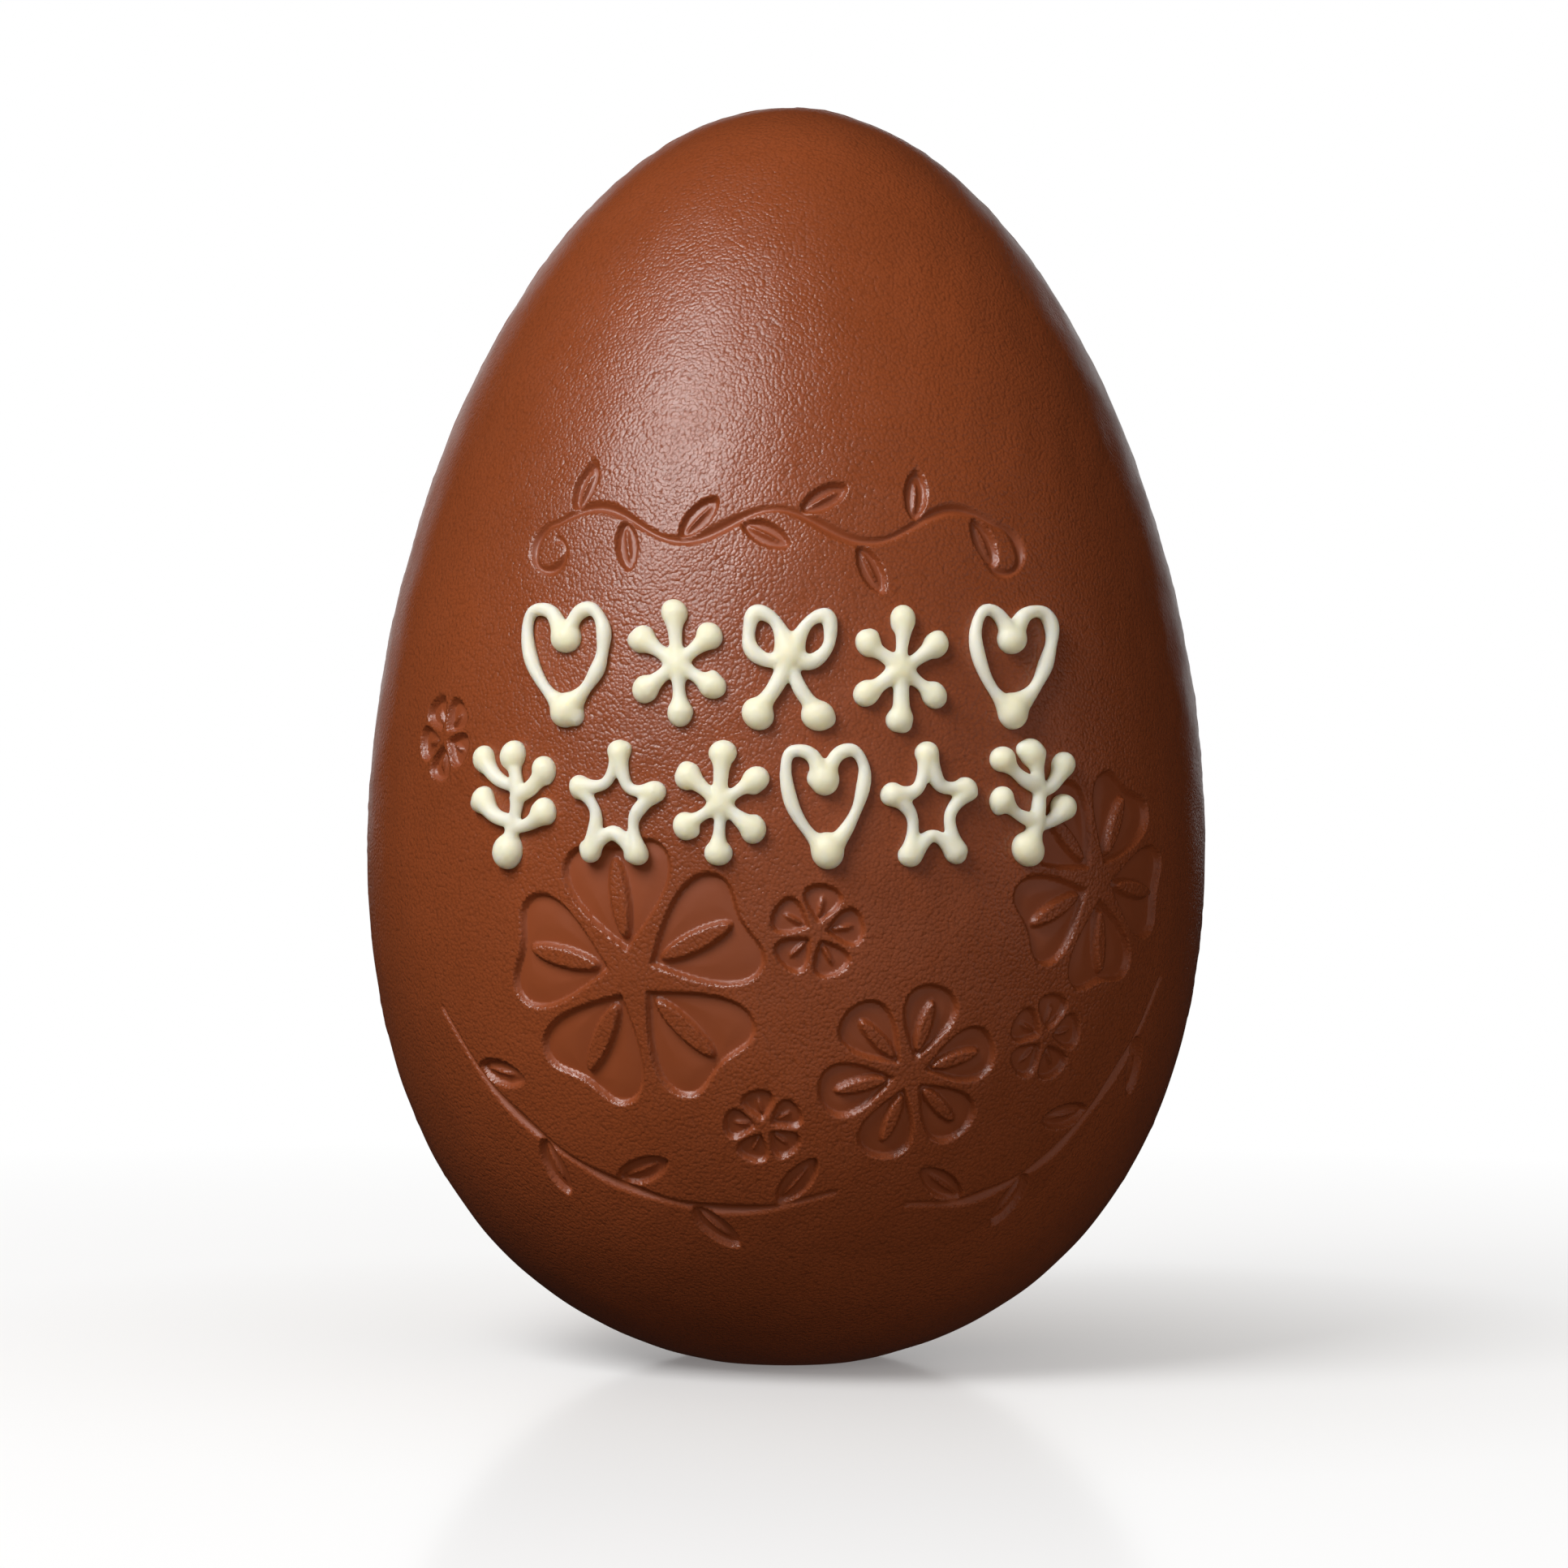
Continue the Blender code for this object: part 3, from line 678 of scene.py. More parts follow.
def add_wedge(name, block, surface, finish):
    """One wedge of the egg: a block of its side, closed by flat walls that meet in the egg's core.

    All wedges share the core, so together they fill the egg. A block that goes all round also
    takes in the tip or the flat foot. Its map runs with the columns and rows, and keeps a thin
    strip for the walls.
    """
    points, normals, polish = surface[:3]
    top, bottom, left, right = block
    count = points.shape[1]
    whole = right - left == count
    columns = np.arange(left, right + (0 if whole else 1))
    picked = np.ix_(np.arange(top, bottom + 1), columns % count)
    spots = points[picked].reshape(-1, 3)
    core, cap = len(spots), len(spots) + 1
    index = np.arange(core).reshape(-1, len(columns))
    grid = closed(index) if whole else index
    shine = polish[picked].reshape(index.shape)
    shine = closed(shine) if whole else shine
    cells = patch_triangles(np.arange(grid.size).reshape(grid.shape), shine)
    side = grid.ravel()[cells]
    rising = np.linspace(1.0, MAP_STRIP, len(grid))
    across, upward = np.meshgrid(np.linspace(0.0, 1.0, grid.shape[1]), rising)
    side_map = np.stack((across.ravel(), upward.ravel()), axis=-1)[cells]
    middle = points[bottom if top else top].mean(axis=0)
    if not whole:
        walls = fan(border(index), core)
    elif top == 0:
        walls = np.concatenate((fan(index[-1, ::-1], core), fan(index[0], cap)))
        middle[2] = EGG_HEIGHT
    else:
        walls = np.concatenate((fan(index[0], core), fan(index[-1, ::-1], cap)))
        middle[2] = 0.0
    extra = [CORE, middle][: 2 if whole else 1]
    spots = np.vstack((spots, extra))
    mesh = new_mesh(name, spots, np.concatenate((side, walls)))
    flat = np.cross(spots[walls[:, 1]] - spots[walls[:, 0]], spots[walls[:, 2]] - spots[walls[:, 0]])
    outward = normals[picked].reshape(-1, 3)[side].reshape(-1, 3)
    mesh.normals_split_custom_set(np.vstack((outward, np.repeat(unit(flat), 3, axis=0))))
    add_value(mesh, "polish", np.append(polish[picked].ravel(), np.zeros(len(extra))))
    places = (np.arange(len(walls))[:, None] + np.array((0.0, 1.0, 0.5))) / len(walls)
    heights = np.broadcast_to(np.array((0.0, 0.0, STRIP_FILL * MAP_STRIP)), places.shape)
    wall_map = np.stack((places, heights), axis=-1)
    chart = mesh.uv_layers.new(name=MAP_NAME)
    chart.uv.foreach_set("vector", np.concatenate((side_map, wall_map)).astype(np.float32).ravel())
    add_piece(name, mesh, finish, "egg")


def heart():
    """The motif's strands, as points x and z in mm, and its dots: x, z and radius."""
    half = [(0.0, 2.6), (-1.5, 5.2), (-3.4, 5.6), (-4.3, 3.3), (-3.7, 0.0), (-2.1, -2.9), (0.0, -5.3)]
    return [half, mirrored(half)], [(0.0, 2.6, 1.8), (0.0, -5.3, 2.0)]


def daisy():
    """Six strands from the middle, each with a dot at its tip, and one dot in the middle."""
    petals = [math.radians(90 + 60 * i) for i in range(6)]
    tips = [(4.3 * math.cos(turn), 5.5 * math.sin(turn)) for turn in petals]
    strands = [[(0.1 * x, 0.1 * z), (x, z)] for x, z in tips]
    return strands, [(0.0, 0.0, 1.5)] + [(x, z, 1.55) for x, z in tips]


def bow():
    """Two loops and two tails that meet in a knot."""
    loop = [(0.0, 1.6), (-1.9, 4.8), (-4.0, 5.4), (-4.4, 2.2), (-2.4, 0.4), (0.0, 1.0)]
    tail = [(0.0, 0.8), (-1.4, -2.4), (-3.3, -5.4)]
    dots = [(0.0, 1.3, 1.9), (-3.3, -5.4, 1.85), (3.3, -5.4, 1.85)]
    return [loop, mirrored(loop), tail, mirrored(tail)], dots


def star():
    """Five strokes, each from one inner corner over a tip to the next."""
    corners = []
    for i in range(11):
        turn = math.radians(90 + 36 * i)
        reach = 6.2 if i % 2 == 0 else 3.0
        corners.append((0.70 * reach * math.cos(turn), reach * math.sin(turn) - 0.4))
    return [corners[i : i + 3] for i in range(0, 10, 2)], [(x, z, 1.35) for x, z in corners[:10:2]]


def sprig():
    """A stem with two twigs to each side."""
    stem = [(-0.7, -5.3), (0.2, -2.4), (0.5, 1.6), (0.0, 5.3)]
    twigs = [
        [(0.1, -2.8), (2.0, -2.2), (3.5, -0.8)],
        [(0.2, -2.2), (-1.8, -1.5), (-3.5, 0.3)],
        [(0.5, 0.8), (2.2, 1.8), (3.5, 3.8)],
        [(0.4, 1.6), (-1.6, 2.7), (-3.3, 4.8)],
    ]
    dots = [(-0.7, -5.3, 2.0), (0.0, 5.3, 1.7)] + [(*twig[-1], 1.55) for twig in twigs]
    return [stem, *twigs], dots


def mirrored(route):
    """The route with left and right changed over."""
    return [(-x, z) for x, z in route]


MOTIFS = {"heart": heart, "daisy": daisy, "bow": bow, "star": star, "sprig": sprig}


def piped_ornaments():
    """Name, motif, strands and dots of each ornament, placed, leant and drawn as its solid is."""
    rng = np.random.default_rng(HAND_SEED)
    counts = {}
    ornaments = []
    for motifs, first, last, height in PIPED_ROWS_MM:
        for i, motif in enumerate(motifs):
            counts[motif] = counts.get(motif, 0) + 1
            x = first + (last - first) * i / (len(motifs) - 1)
            middle = (x, height + rng.uniform(-ROW_WANDER_MM, ROW_WANDER_MM))
            lean = rng.uniform(-ROW_LEAN, ROW_LEAN)
            strands, dots = MOTIFS[motif]()
            routes = []
            for route in strands:
                drawn = placed(np.array(route), middle, lean)
                routes.append(drawn + rng.uniform(-HAND_WANDER_MM, HAND_WANDER_MM, drawn.shape))
            dots = np.array(dots)
            dots[:, :2] = placed(dots[:, :2], middle, lean)
            ornaments.append((f"piped_{motif}_{counts[motif]}", motif, routes, dots))
    return ornaments


def tube_mesh(rings):
    """Points and triangles of a closed tube: rings of points in order, with a fan at each end."""
    count = rings.shape[1]
    index = np.arange(rings.shape[0] * count).reshape(-1, count)
    ends = rings[[0, -1]].mean(axis=1)
    grid = closed(index)
    sides = patch_triangles(grid, np.zeros(grid.shape))
    caps = (fan(index[0], index.size), fan(index[-1, ::-1], index.size + 1))
    return np.vstack((rings.reshape(-1, 3), ends)), np.concatenate((sides, *caps))


def run_on(route, reach):
    """The route, run on straight by reach at both ends."""
    first = route[0] + reach * unit(route[0] - route[1])
    last = route[-1] + reach * unit(route[-1] - route[-2])
    return np.vstack((first, route, last))


def strand_rings(route, dots, settings, rng):
    """A strand's rings: a circle carried along the route, upright on the egg, with round ends.

    Its radius wavers by a cosine, swells toward each dot by a bell curve of the distance to it,
    while its middle sinks, and shrinks to nothing at both ends as a half circle's does.
    """
    reach = settings.strand_radius / MM
    path = smooth_route(run_on(route, reach), STRAND_STEP_MM)
    walked = STRAND_STEP_MM * np.arange(len(path))
    waver = np.cos(math.tau * (walked / rng.uniform(*WAVER_MM) + rng.uniform(0.0, 1.0)))
    away = np.linalg.norm(path[:, None, :] - dots[None, :, :2], axis=2)
    extra = settings.swell * np.maximum(dots[:, 2] * MM - settings.strand_radius, 0.0)
    extra = (extra * np.exp(-((away / (settings.swell_reach * dots[:, 2])) ** 2))).max(axis=1)
    radius = settings.strand_radius * (rng.uniform(*STRAND_SPREAD) + settings.waver * waver) + extra
    lift = STRAND_LIFT - settings.swell_sink * extra
    centre = on_front(path[:, 0] * MM, path[:, 1] * MM, lift)
    outward = unit(on_front(path[:, 0] * MM, path[:, 1] * MM, lift + MM) - centre)
    side = np.cross(unit(np.gradient(centre, axis=0)), outward)
    inset = np.clip(np.minimum(walked, walked[-1] - walked) / reach, 0.0, 1.0)
    radius *= np.maximum(np.sqrt(1.0 - (1.0 - inset) ** 2), LEAST_END)
    turns = around(STRAND_SIDES)
    circle = np.cos(turns)[:, None] * side[:, None, :] + np.sin(turns)[:, None] * outward[:, None, :]
    return centre[:, None, :] + radius[:, None, None] * circle


def dot_rings(x, z, radius, settings, rng):
    """A dot's rings: circles of a slightly flattened, slightly oval ball that sits on the egg."""
    centre = on_front(x * MM, z * MM, DOT_LIFT)
    outward = unit(on_front(x * MM, z * MM, DOT_LIFT + MM) - centre)
    side = unit(np.cross(outward, (0.0, 0.0, 1.0)))
    upright = np.cross(side, outward)
    polar = np.linspace(0.0, math.pi, DOT_CIRCLES)[1:-1, None]
    turns = around(DOT_SIDES)
    oval = 1.0 + settings.ovalness * np.cos(2.0 * turns + rng.uniform(0.0, math.tau))
    reach = radius * MM * np.sin(polar) * oval
    rise = radius * MM * DOT_FLATNESS * np.cos(polar) * np.ones(turns.shape)
    across = (reach * np.cos(turns))[..., None] * side
    up = (reach * np.sin(turns))[..., None] * upright
    return centre + across + up + rise[..., None] * outward


def uneven_dots(dots, settings, rng):
    """The dots, with a smaller second squeeze beside some of them."""
    turns = rng.uniform(0.0, math.tau, len(dots))
    aside = settings.second_squeeze * dots[:, 2:] * np.column_stack((np.cos(turns), np.sin(turns)))
    second = np.column_stack((dots[:, :2] + aside, SECOND_SIZE * dots[:, 2]))
    return np.vstack((dots, second[rng.random(len(dots)) < SECOND_CHANCE]))


def melted_together(name, shells, settings):
    """One soft skin round overlapping closed shells: a voxel remesh, then smoothing."""
    sizes = np.cumsum([0] + [len(points) for points, _ in shells[:-1]])
    points = np.vstack([points for points, _ in shells])
    triangles = np.concatenate([faces + size for (_, faces), size in zip(shells, sizes)])
    rough = new_object(name + "_rough", new_mesh(name + "_rough", points, triangles))
    remesh = rough.modifiers.new("Melt", "REMESH")
    remesh.mode = "VOXEL"
    remesh.voxel_size = settings.voxel
    smooth = rough.modifiers.new("Soften", "SMOOTH")
    smooth.factor = 0.5
    smooth.iterations = settings.softness
    bpy.context.view_layer.update()
    graph = bpy.context.evaluated_depsgraph_get()
    mesh = bpy.data.meshes.new_from_object(rough.evaluated_get(graph))
    mesh.name = name
    bpy.data.objects.remove(rough, do_unlink=True)
    mesh.shade_smooth()
    return mesh


def mesh_points(mesh):
    """The mesh's points as an array."""
    points = np.empty(len(mesh.vertices) * 3, np.float32)
    mesh.vertices.foreach_get("co", points)
    return points.reshape(-1, 3).astype(float)


def pipe_ornaments(motif, settings, finish):
    """Pipes every ornament of one motif: its strands and dots melt into one piece."""
    for order, (name, kind, routes, dots) in enumerate(piped_ornaments()):
        if kind != motif:
            continue
        rng = np.random.default_rng(SQUEEZE_SEED + order)
        shells = [tube_mesh(strand_rings(route, dots, settings, rng)) for route in routes]
        shells += [tube_mesh(dot_rings(*dot, settings, rng)) for dot in uneven_dots(dots, settings, rng)]
        mesh = melted_together(name, shells, settings)
        points = mesh_points(mesh)
        middles = on_front(dots[:, 0] * MM, dots[:, 1] * MM, DOT_LIFT)
        away = np.linalg.norm(points[:, None, :] - middles[None, :, :], axis=2) / (dots[:, 2] * MM)
        add_value(mesh, "thickness", np.exp(-((away.min(axis=1) / CREAM_REACH) ** 4)))
        add_piece(name, mesh, finish, name)


class Finish:
    """Builds one finish's nodes: a new material, its shader and short calls for what feeds it."""

    def __init__(self, name):
        self.material = bpy.data.materials.new(name)
        self.material.use_nodes = True
        self.tree = self.material.node_tree
        self.shader = self.tree.nodes["Principled BSDF"]
        self.place = self.node("ShaderNodeTexCoord").outputs["Object"]

    def node(self, kind, **settings):
        made = self.tree.nodes.new(kind)
        for key, value in settings.items():
            setattr(made, key, value)
        return made

    def feed(self, socket, value):
        """Links an output to a socket, or sets the socket to a plain value."""
        if isinstance(value, bpy.types.NodeSocket):
            self.tree.links.new(value, socket)
        else:
            socket.default_value = value

    def noise(self, scale, detail=2.0, roughness=0.5, place=None, output="Fac"):
        made = self.node("ShaderNodeTexNoise")
        self.feed(made.inputs["Vector"], self.place if place is None else place)
        made.inputs["Scale"].default_value = scale
        made.inputs["Detail"].default_value = detail
        made.inputs["Roughness"].default_value = roughness
        return made.outputs[output]

    def cells(self, scale, place, smoothness=0.5):
        """Distance to the nearest of scattered points, softened where cells meet."""
        made = self.node("ShaderNodeTexVoronoi", feature="SMOOTH_F1")
        self.feed(made.inputs["Vector"], place)
        made.inputs["Scale"].default_value = scale
        made.inputs["Smoothness"].default_value = smoothness
        return made.outputs["Distance"]

    def maths(self, operation, first, second):
        made = self.node("ShaderNodeMath", operation=operation)
        self.feed(made.inputs[0], first)
        self.feed(made.inputs[1], second)
        return made.outputs[0]

    def ranged(self, value, low, high, to_low, to_high):
        """The value carried over from one range to another, and held within it."""
        made = self.node("ShaderNodeMapRange", clamp=True)
        for socket, number in zip(made.inputs, (value, low, high, to_low, to_high)):
            self.feed(socket, number)
        return made.outputs["Result"]

    def drift(self, scale, low, high, detail=2.0, roughness=0.5, span=NOISE_SPAN):
        """A value that drifts between two others: noise, carried over from this span of it."""
        return self.ranged(self.noise(scale, detail, roughness), *span, low, high)

    def mixed(self, share, first, second):
        """A colour between two others."""
        made = self.node("ShaderNodeMix", data_type="RGBA")
        self.feed(made.inputs["Factor"], share)
        colours = [s for s in made.inputs if s.type == "RGBA"]
        for socket, value in zip(colours, (first, second)):
            self.feed(socket, value)
        return next(s for s in made.outputs if s.type == "RGBA")

    def value_of(self, name):
        return self.node("ShaderNodeAttribute", attribute_name=name).outputs["Fac"]

    def shifted(self, amount, scale):
        """Object coordinates, pushed about by noise so that a pattern on them is irregular."""
        push = self.node("ShaderNodeVectorMath", operation="MULTIPLY_ADD")
        self.feed(push.inputs[0], self.noise(scale, output="Color"))
        push.inputs[1].default_value = (amount,) * 3
        self.feed(push.inputs[2], self.place)
        return push.outputs["Vector"]

    def bump(self, height, distance, normal=None):
        made = self.node("ShaderNodeBump")
        made.inputs["Distance"].default_value = distance
        self.feed(made.inputs["Height"], height)
        if normal is not None:
            self.feed(made.inputs["Normal"], normal)
        return made.outputs["Normal"]

    def dress(self, tone, normal, roughness, gloss):
        """Feeds the shader with chocolate's colour, relief, roughness and strength of reflection."""
        made = {"Base Color": tone, "Normal": normal, "Roughness": roughness}
        made.update({"IOR": CHOCOLATE_IOR, "Specular IOR Level": gloss})
        for name, value in made.items():
            self.feed(self.shader.inputs[name], value)

    def glow(self):
        """A plain white glow."""
        made = self.node("ShaderNodeEmission")
        made.inputs["Color"].default_value = WHITE
        return made.outputs["Emission"]

    def blended(self, share, first, second):
        """A surface between two others."""
        made = self.node("ShaderNodeMixShader")
        for socket, value in zip(made.inputs, (share, first, second)):
            self.feed(socket, value)
        return made.outputs["Shader"]

    def show(self, surface):
        """Shows this surface in place of the shader's."""
        self.feed(self.tree.nodes["Material Output"].inputs["Surface"], surface)
        self.tree.nodes.remove(self.shader)


def solid(colour, factor=1.0):
    """A colour as four numbers, made darker or lighter by a factor."""
    return (*(min(1.0, channel * factor) for channel in colour), 1.0)


def milk_chocolate(settings):
    """Satin milk chocolate: a fine leathery pebble with painted shade in the hollows between its grains,
    which the polished recesses don't have.
    """
    finish = Finish("milk_chocolate_satin")
    place = finish.shifted(PEBBLE_PUSH * settings.pebble, PUSH_SCALE / settings.pebble)
    pebble = finish.cells(1.0 / settings.pebble, place)
    grain = finish.noise(GRAIN_SCALE / settings.pebble, 3.0, 0.6, place)
    polish = finish.value_of("polish")
    rough = finish.ranged(polish, *WANING, 1.0, 0.0)
    valleys = finish.maths("MULTIPLY", finish.maths("POWER", pebble, 2.0), VALLEY_HEIGHT)
    height = finish.maths("ADD", valleys, finish.maths("MULTIPLY", grain, GRAIN_HEIGHT))
    skin = finish.maths("MULTIPLY", height, rough)
    silk = finish.noise(SILK_SCALE, 3.0, 0.55)
    normal = finish.bump(silk, settings.silk_height)
    normal = finish.bump(skin, settings.pebble_height, normal)
    broad = finish.drift(TONE_SCALE, 0.0, 1.0, span=TONE_SPAN)
    tone = finish.mixed(broad, *(solid(settings.milk, factor) for factor in TONES))
    # Painted shade: the colour darkens toward a darker copy in the hollows between grains, standing in for
    # the shade that falls there; none in the polished recesses.
    painted_shade_in_pits = finish.maths("MULTIPLY", finish.ranged(pebble, *PAINTED_PIT_SHADE_SPAN, 0.0, settings.painted_pit_shade), rough)
    tone = finish.mixed(painted_shade_in_pits, tone, solid(settings.milk, PAINTED_PIT_SHADE_TONE))
    sheen = finish.drift(SHEEN_SCALE, -SHEEN_SPREAD, SHEEN_SPREAD, 4.0, 0.6)
    base = finish.ranged(polish, 0.0, 1.0, settings.milk_roughness, settings.polished_roughness)
    finish.dress(tone, normal, finish.maths("ADD", base, sheen), settings.milk_gloss)
    return finish.material


def white_chocolate(settings):
    """Satin white chocolate: cream where it is thick, paler in the thin strands, faintly uneven."""
    finish = Finish("white_chocolate_satin")
    cloud = finish.drift(CLOUD_SCALE, *CLOUDS, 3.0, 0.6, CLOUD_SPAN)
    thick = finish.maths("MULTIPLY", finish.value_of("thickness"), CREAM_SHARE)
    creamy = finish.maths("ADD", thick, cloud)
    tone = finish.mixed(creamy, solid(settings.white), solid(settings.cream))
    normal = finish.bump(finish.noise(WAX_SCALE, 2.0, 0.45), settings.wax_height)
    roughness = finish.maths("ADD", finish.drift(GLEAM_SCALE, *GLEAMS), settings.white_roughness)
    finish.dress(tone, normal, roughness, settings.white_gloss)
    finish.shader.inputs["Subsurface Weight"].default_value = settings.translucence
    finish.shader.inputs["Subsurface Radius"].default_value = DEEP_TINT
    finish.shader.inputs["Subsurface Scale"].default_value = settings.glow_depth
    return finish.material


def pale_floor(settings):
    """A pale, faintly mirroring floor that turns white with distance from the egg."""
    finish = Finish("pale_floor")
    matt = finish.node("ShaderNodeBsdfDiffuse")
    matt.inputs["Color"].default_value = solid(settings.floor)
    mirror = finish.node("ShaderNodeBsdfGlossy")
    mirror.inputs["Color"].default_value = WHITE
    finish.feed(mirror.inputs["Roughness"], finish.drift(MOTTLE_SCALE, *MOTTLES))
    away = finish.node("ShaderNodeVectorMath", operation="LENGTH")
    finish.feed(away.inputs[0], finish.place)
    away = away.outputs["Value"]
    near, far = settings.foot_reach, settings.white_reach
    paling = finish.ranged(away, 0.0, near, settings.foot_white, settings.near_white)
    fading = finish.ranged(away, near, far, 0.0, 1.0 - settings.near_white)
    lit = finish.blended(finish.maths("ADD", paling, fading), matt.outputs["BSDF"], finish.glow())
    shine = finish.ranged(away, near, far, settings.mirror, 0.0)
    finish.show(finish.blended(shine, lit, mirror.outputs["BSDF"]))
    return finish.material


def metres(name, description, default, low=0.0):
    return bpy.props.FloatProperty(
        name=name, description=description, default=default, min=low, subtype="DISTANCE", precision=5
    )


def fraction(name, description, default, high=1.0):
    return bpy.props.FloatProperty(name=name, description=description, default=default, min=0.0, max=high)


def degrees(name, description, default):
    return bpy.props.FloatProperty(
        name=name, description=description, default=math.radians(default), subtype="ANGLE"
    )


def watts(name, description, default):
    return bpy.props.FloatProperty(name=name, description=description, default=default, unit="POWER")


def tint(name, description, default):
    return bpy.props.FloatVectorProperty(
        name=name, description=description, default=default, min=0.0, max=1.0, subtype="COLOR"
    )


class EggSettings(bpy.types.PropertyGroup):
    """Sizes of the moulded egg and the finish of its milk chocolate."""

    mesh_step: metres("Mesh step", "Distance between the mesh's points on the piped front", 0.00025)
    petal_depth: metres("Petal depth", "How deep petals and leaves are sunk", 0.0007)
    rim_width: metres("Rim width", "Width of the slope between skin and petal floor", 0.00042)
    dome_width: metres("Dome width", "How far in from its rim a petal's floor rises", 0.0022)
    dome_share: fraction("Dome", "How much of the depth a petal's floor rises by", 0.16)
    low_rib_share: fraction("Low ribs", "Height of small ribs and veins, as a share of the depth", 0.62)
    low_rib_slope: metres("Low rib slope", "Half width over which a small rib or vein rises", 0.00034)
    groove_width: metres("Groove width", "Width of the vine's and stems' grooves", 0.0014)
    groove_depth: metres("Groove depth", "Depth of the vine's and stems' grooves", 0.0005)
    nib: fraction("Nib", "How much a groove's width changes from thick to thin strokes", 0.3)
    seam_height: metres("Seam height", "Height of the ridge where the mould's halves met", 0.00008)
    seam_width: metres("Seam width", "Half width of that ridge", 0.0005)
    unevenness: metres("Unevenness", "How far the egg's skin wanders from its true curve", 0.00003)
    milk: tint("Milk chocolate", "Colour of the milk chocolate", (0.255, 0.057, 0.0155))
    milk_roughness: fraction("Roughness", "Roughness of the pebbled skin", 0.32)
    polished_roughness: fraction("Polished roughness", "Roughness of petal floors and grooves", 0.43)
    milk_gloss: fraction("Gloss", "Strength of the milk chocolate's reflection", 0.75)
    pebble: metres("Pebble", "Size of one grain of the pebbled skin", 0.00037)
    pebble_height: metres("Pebble height", "Depth of the pebbled skin", 0.00005)
    silk_height: metres("Silk height", "Depth of the faint wander under the grain", 0.00004)
    # Painted shade: how far the colour darkens in the hollows between grains, standing in for the shade
    # there.
    painted_pit_shade: fraction("Pit shade", "How much darker the hollows between grains are", 0.30)


class PipingSettings(bpy.types.PropertyGroup):
    """Sizes and colours of the piped white chocolate."""

    strand_radius: metres("Strand radius", "Radius of a piped strand", 0.0008)
    swell: fraction("Swell", "How much of a dot's extra radius a strand takes on beside it", 0.8)
    swell_sink: fraction("Swell sink", "How far a strand sinks, as a share of its extra radius", 0.4)
    swell_reach: fraction("Swell reach", "How far from a dot a strand swells, in its radii", 0.75, high=3.0)
    waver: fraction("Waver", "How much a strand's width wavers", 0.12)
    ovalness: fraction("Ovalness", "How much a dot's outline is out of round", 0.06)
    second_squeeze: fraction("Second squeeze", "How far beside its dot a second one lies, in radii", 0.5)
    voxel: metres("Voxel", "Detail at which strands and dots melt together", 0.00016)
    softness: bpy.props.IntProperty(name="Softness", description="Rounds of smoothing", default=26, min=0)
    white: tint("White", "Colour of thin strands", (0.87, 0.83, 0.665))
    cream: tint("Cream", "Colour of thick dots", (0.84, 0.79, 0.56))
    white_roughness: fraction("Roughness", "Roughness of the piping", 0.46)
    white_gloss: fraction("Gloss", "Strength of the piping's reflection", 0.28)
    translucence: fraction("Translucence", "How much light passes into the white chocolate", 0.85)
    glow_depth: metres("Glow depth", "How far that light spreads", 0.003)
    wax_height: metres("Wax height", "Depth of the piping's faint unevenness", 0.00012)


class StageSettings(bpy.types.PropertyGroup):
    """The camera, the lights and the floor."""

    floor: tint("Floor", "Colour of the floor", (0.93, 0.93, 0.93))
    floor_reach: metres("Floor reach", "Distance from the egg to the floor's edge", 6.0)
    foot_white: fraction("Foot white", "How much of the floor is plain white at the egg's foot", 0.15)
    near_white: fraction("Near white", "How much of it is plain white a little way off", 0.78)
    foot_reach: metres("Foot reach", "Distance from the foot to that place", 0.12)
    white_reach: metres("White reach", "Distance from the foot at which the floor is all white", 0.28)
    mirror: fraction("Mirror", "How much of the floor's look is a reflection", 0.14)
    distance: metres("Camera distance", "Distance from the camera to the egg's axis", 0.9)
    elevation: degrees("Elevation", "Camera's angle above level", 2.5)
    roll: degrees("Roll", "Camera's turn about its view", 0.3)
    frame_width: metres("Frame width", "What the picture's width spans at the egg's axis", 0.18227)
    aim_aside: metres("Aim aside", "How far right of the egg's axis its middle is", -0.0003, low=-1.0)
    aim_height: metres("Aim height", "Height of the point that the picture is centred on", 0.0667)
    key: watts("Key light", "Power of the large key light", 6.6)
    fill: watts("Fill light", "Power of the broad fill light", 10.4)
    back: watts("Back light", "Power of the light behind the egg", 9.0)
    strip: watts("Strip light", "Power of the side strip", 0.15)
    ambient: fraction("Ambient", "Strength of the even light from all round", 0.13, high=10.0)
    ambient_tint: tint("Ambient tint", "Colour of that light, warmed by chocolate", (1.0, 0.75, 0.5))
    reflected: fraction("Reflected", "Strength of that light in reflections", 0.01, high=10.0)


def nearest(values, wanted):
    """The number of the value that is nearest to the wanted one."""
    return int(np.argmin(np.abs(values - wanted)))


class CHOCOLATE_EGG_OT_mould(bpy.types.Operator):
    """Moulds the egg: five wedges of its side that meet in its core"""

    bl_idname = "chocolate_egg.mould"
    bl_label = "Mould Egg"

    def execute(self, context):
        settings = context.scene.egg_settings
        finish = milk_chocolate(settings)
        surface = egg_surface(settings)
        turn, down = surface[3], surface[4]
        count = turn.shape[1]
        last = turn.shape[0] - 1
        upper, waist, lower = (nearest(down[:, 0], down_at(z * MM)) for z in WEDGE_HEIGHTS_MM)
        left, right = (nearest(turn[0], math.radians(side)) for side in (-WEDGE_SIDE, WEDGE_SIDE))
        blocks = {
            "egg_crown": (0, upper, 0, count),
            "egg_front_upper": (upper, waist, left, right),
            "egg_front_lower": (waist, lower, left, right),
            "egg_back": (upper, lower, right, left + count),
            "egg_foot": (lower, last, 0, count),
        }
        for name, block in blocks.items():
            add_wedge(name, block, surface, finish)
        return {"FINISHED"}


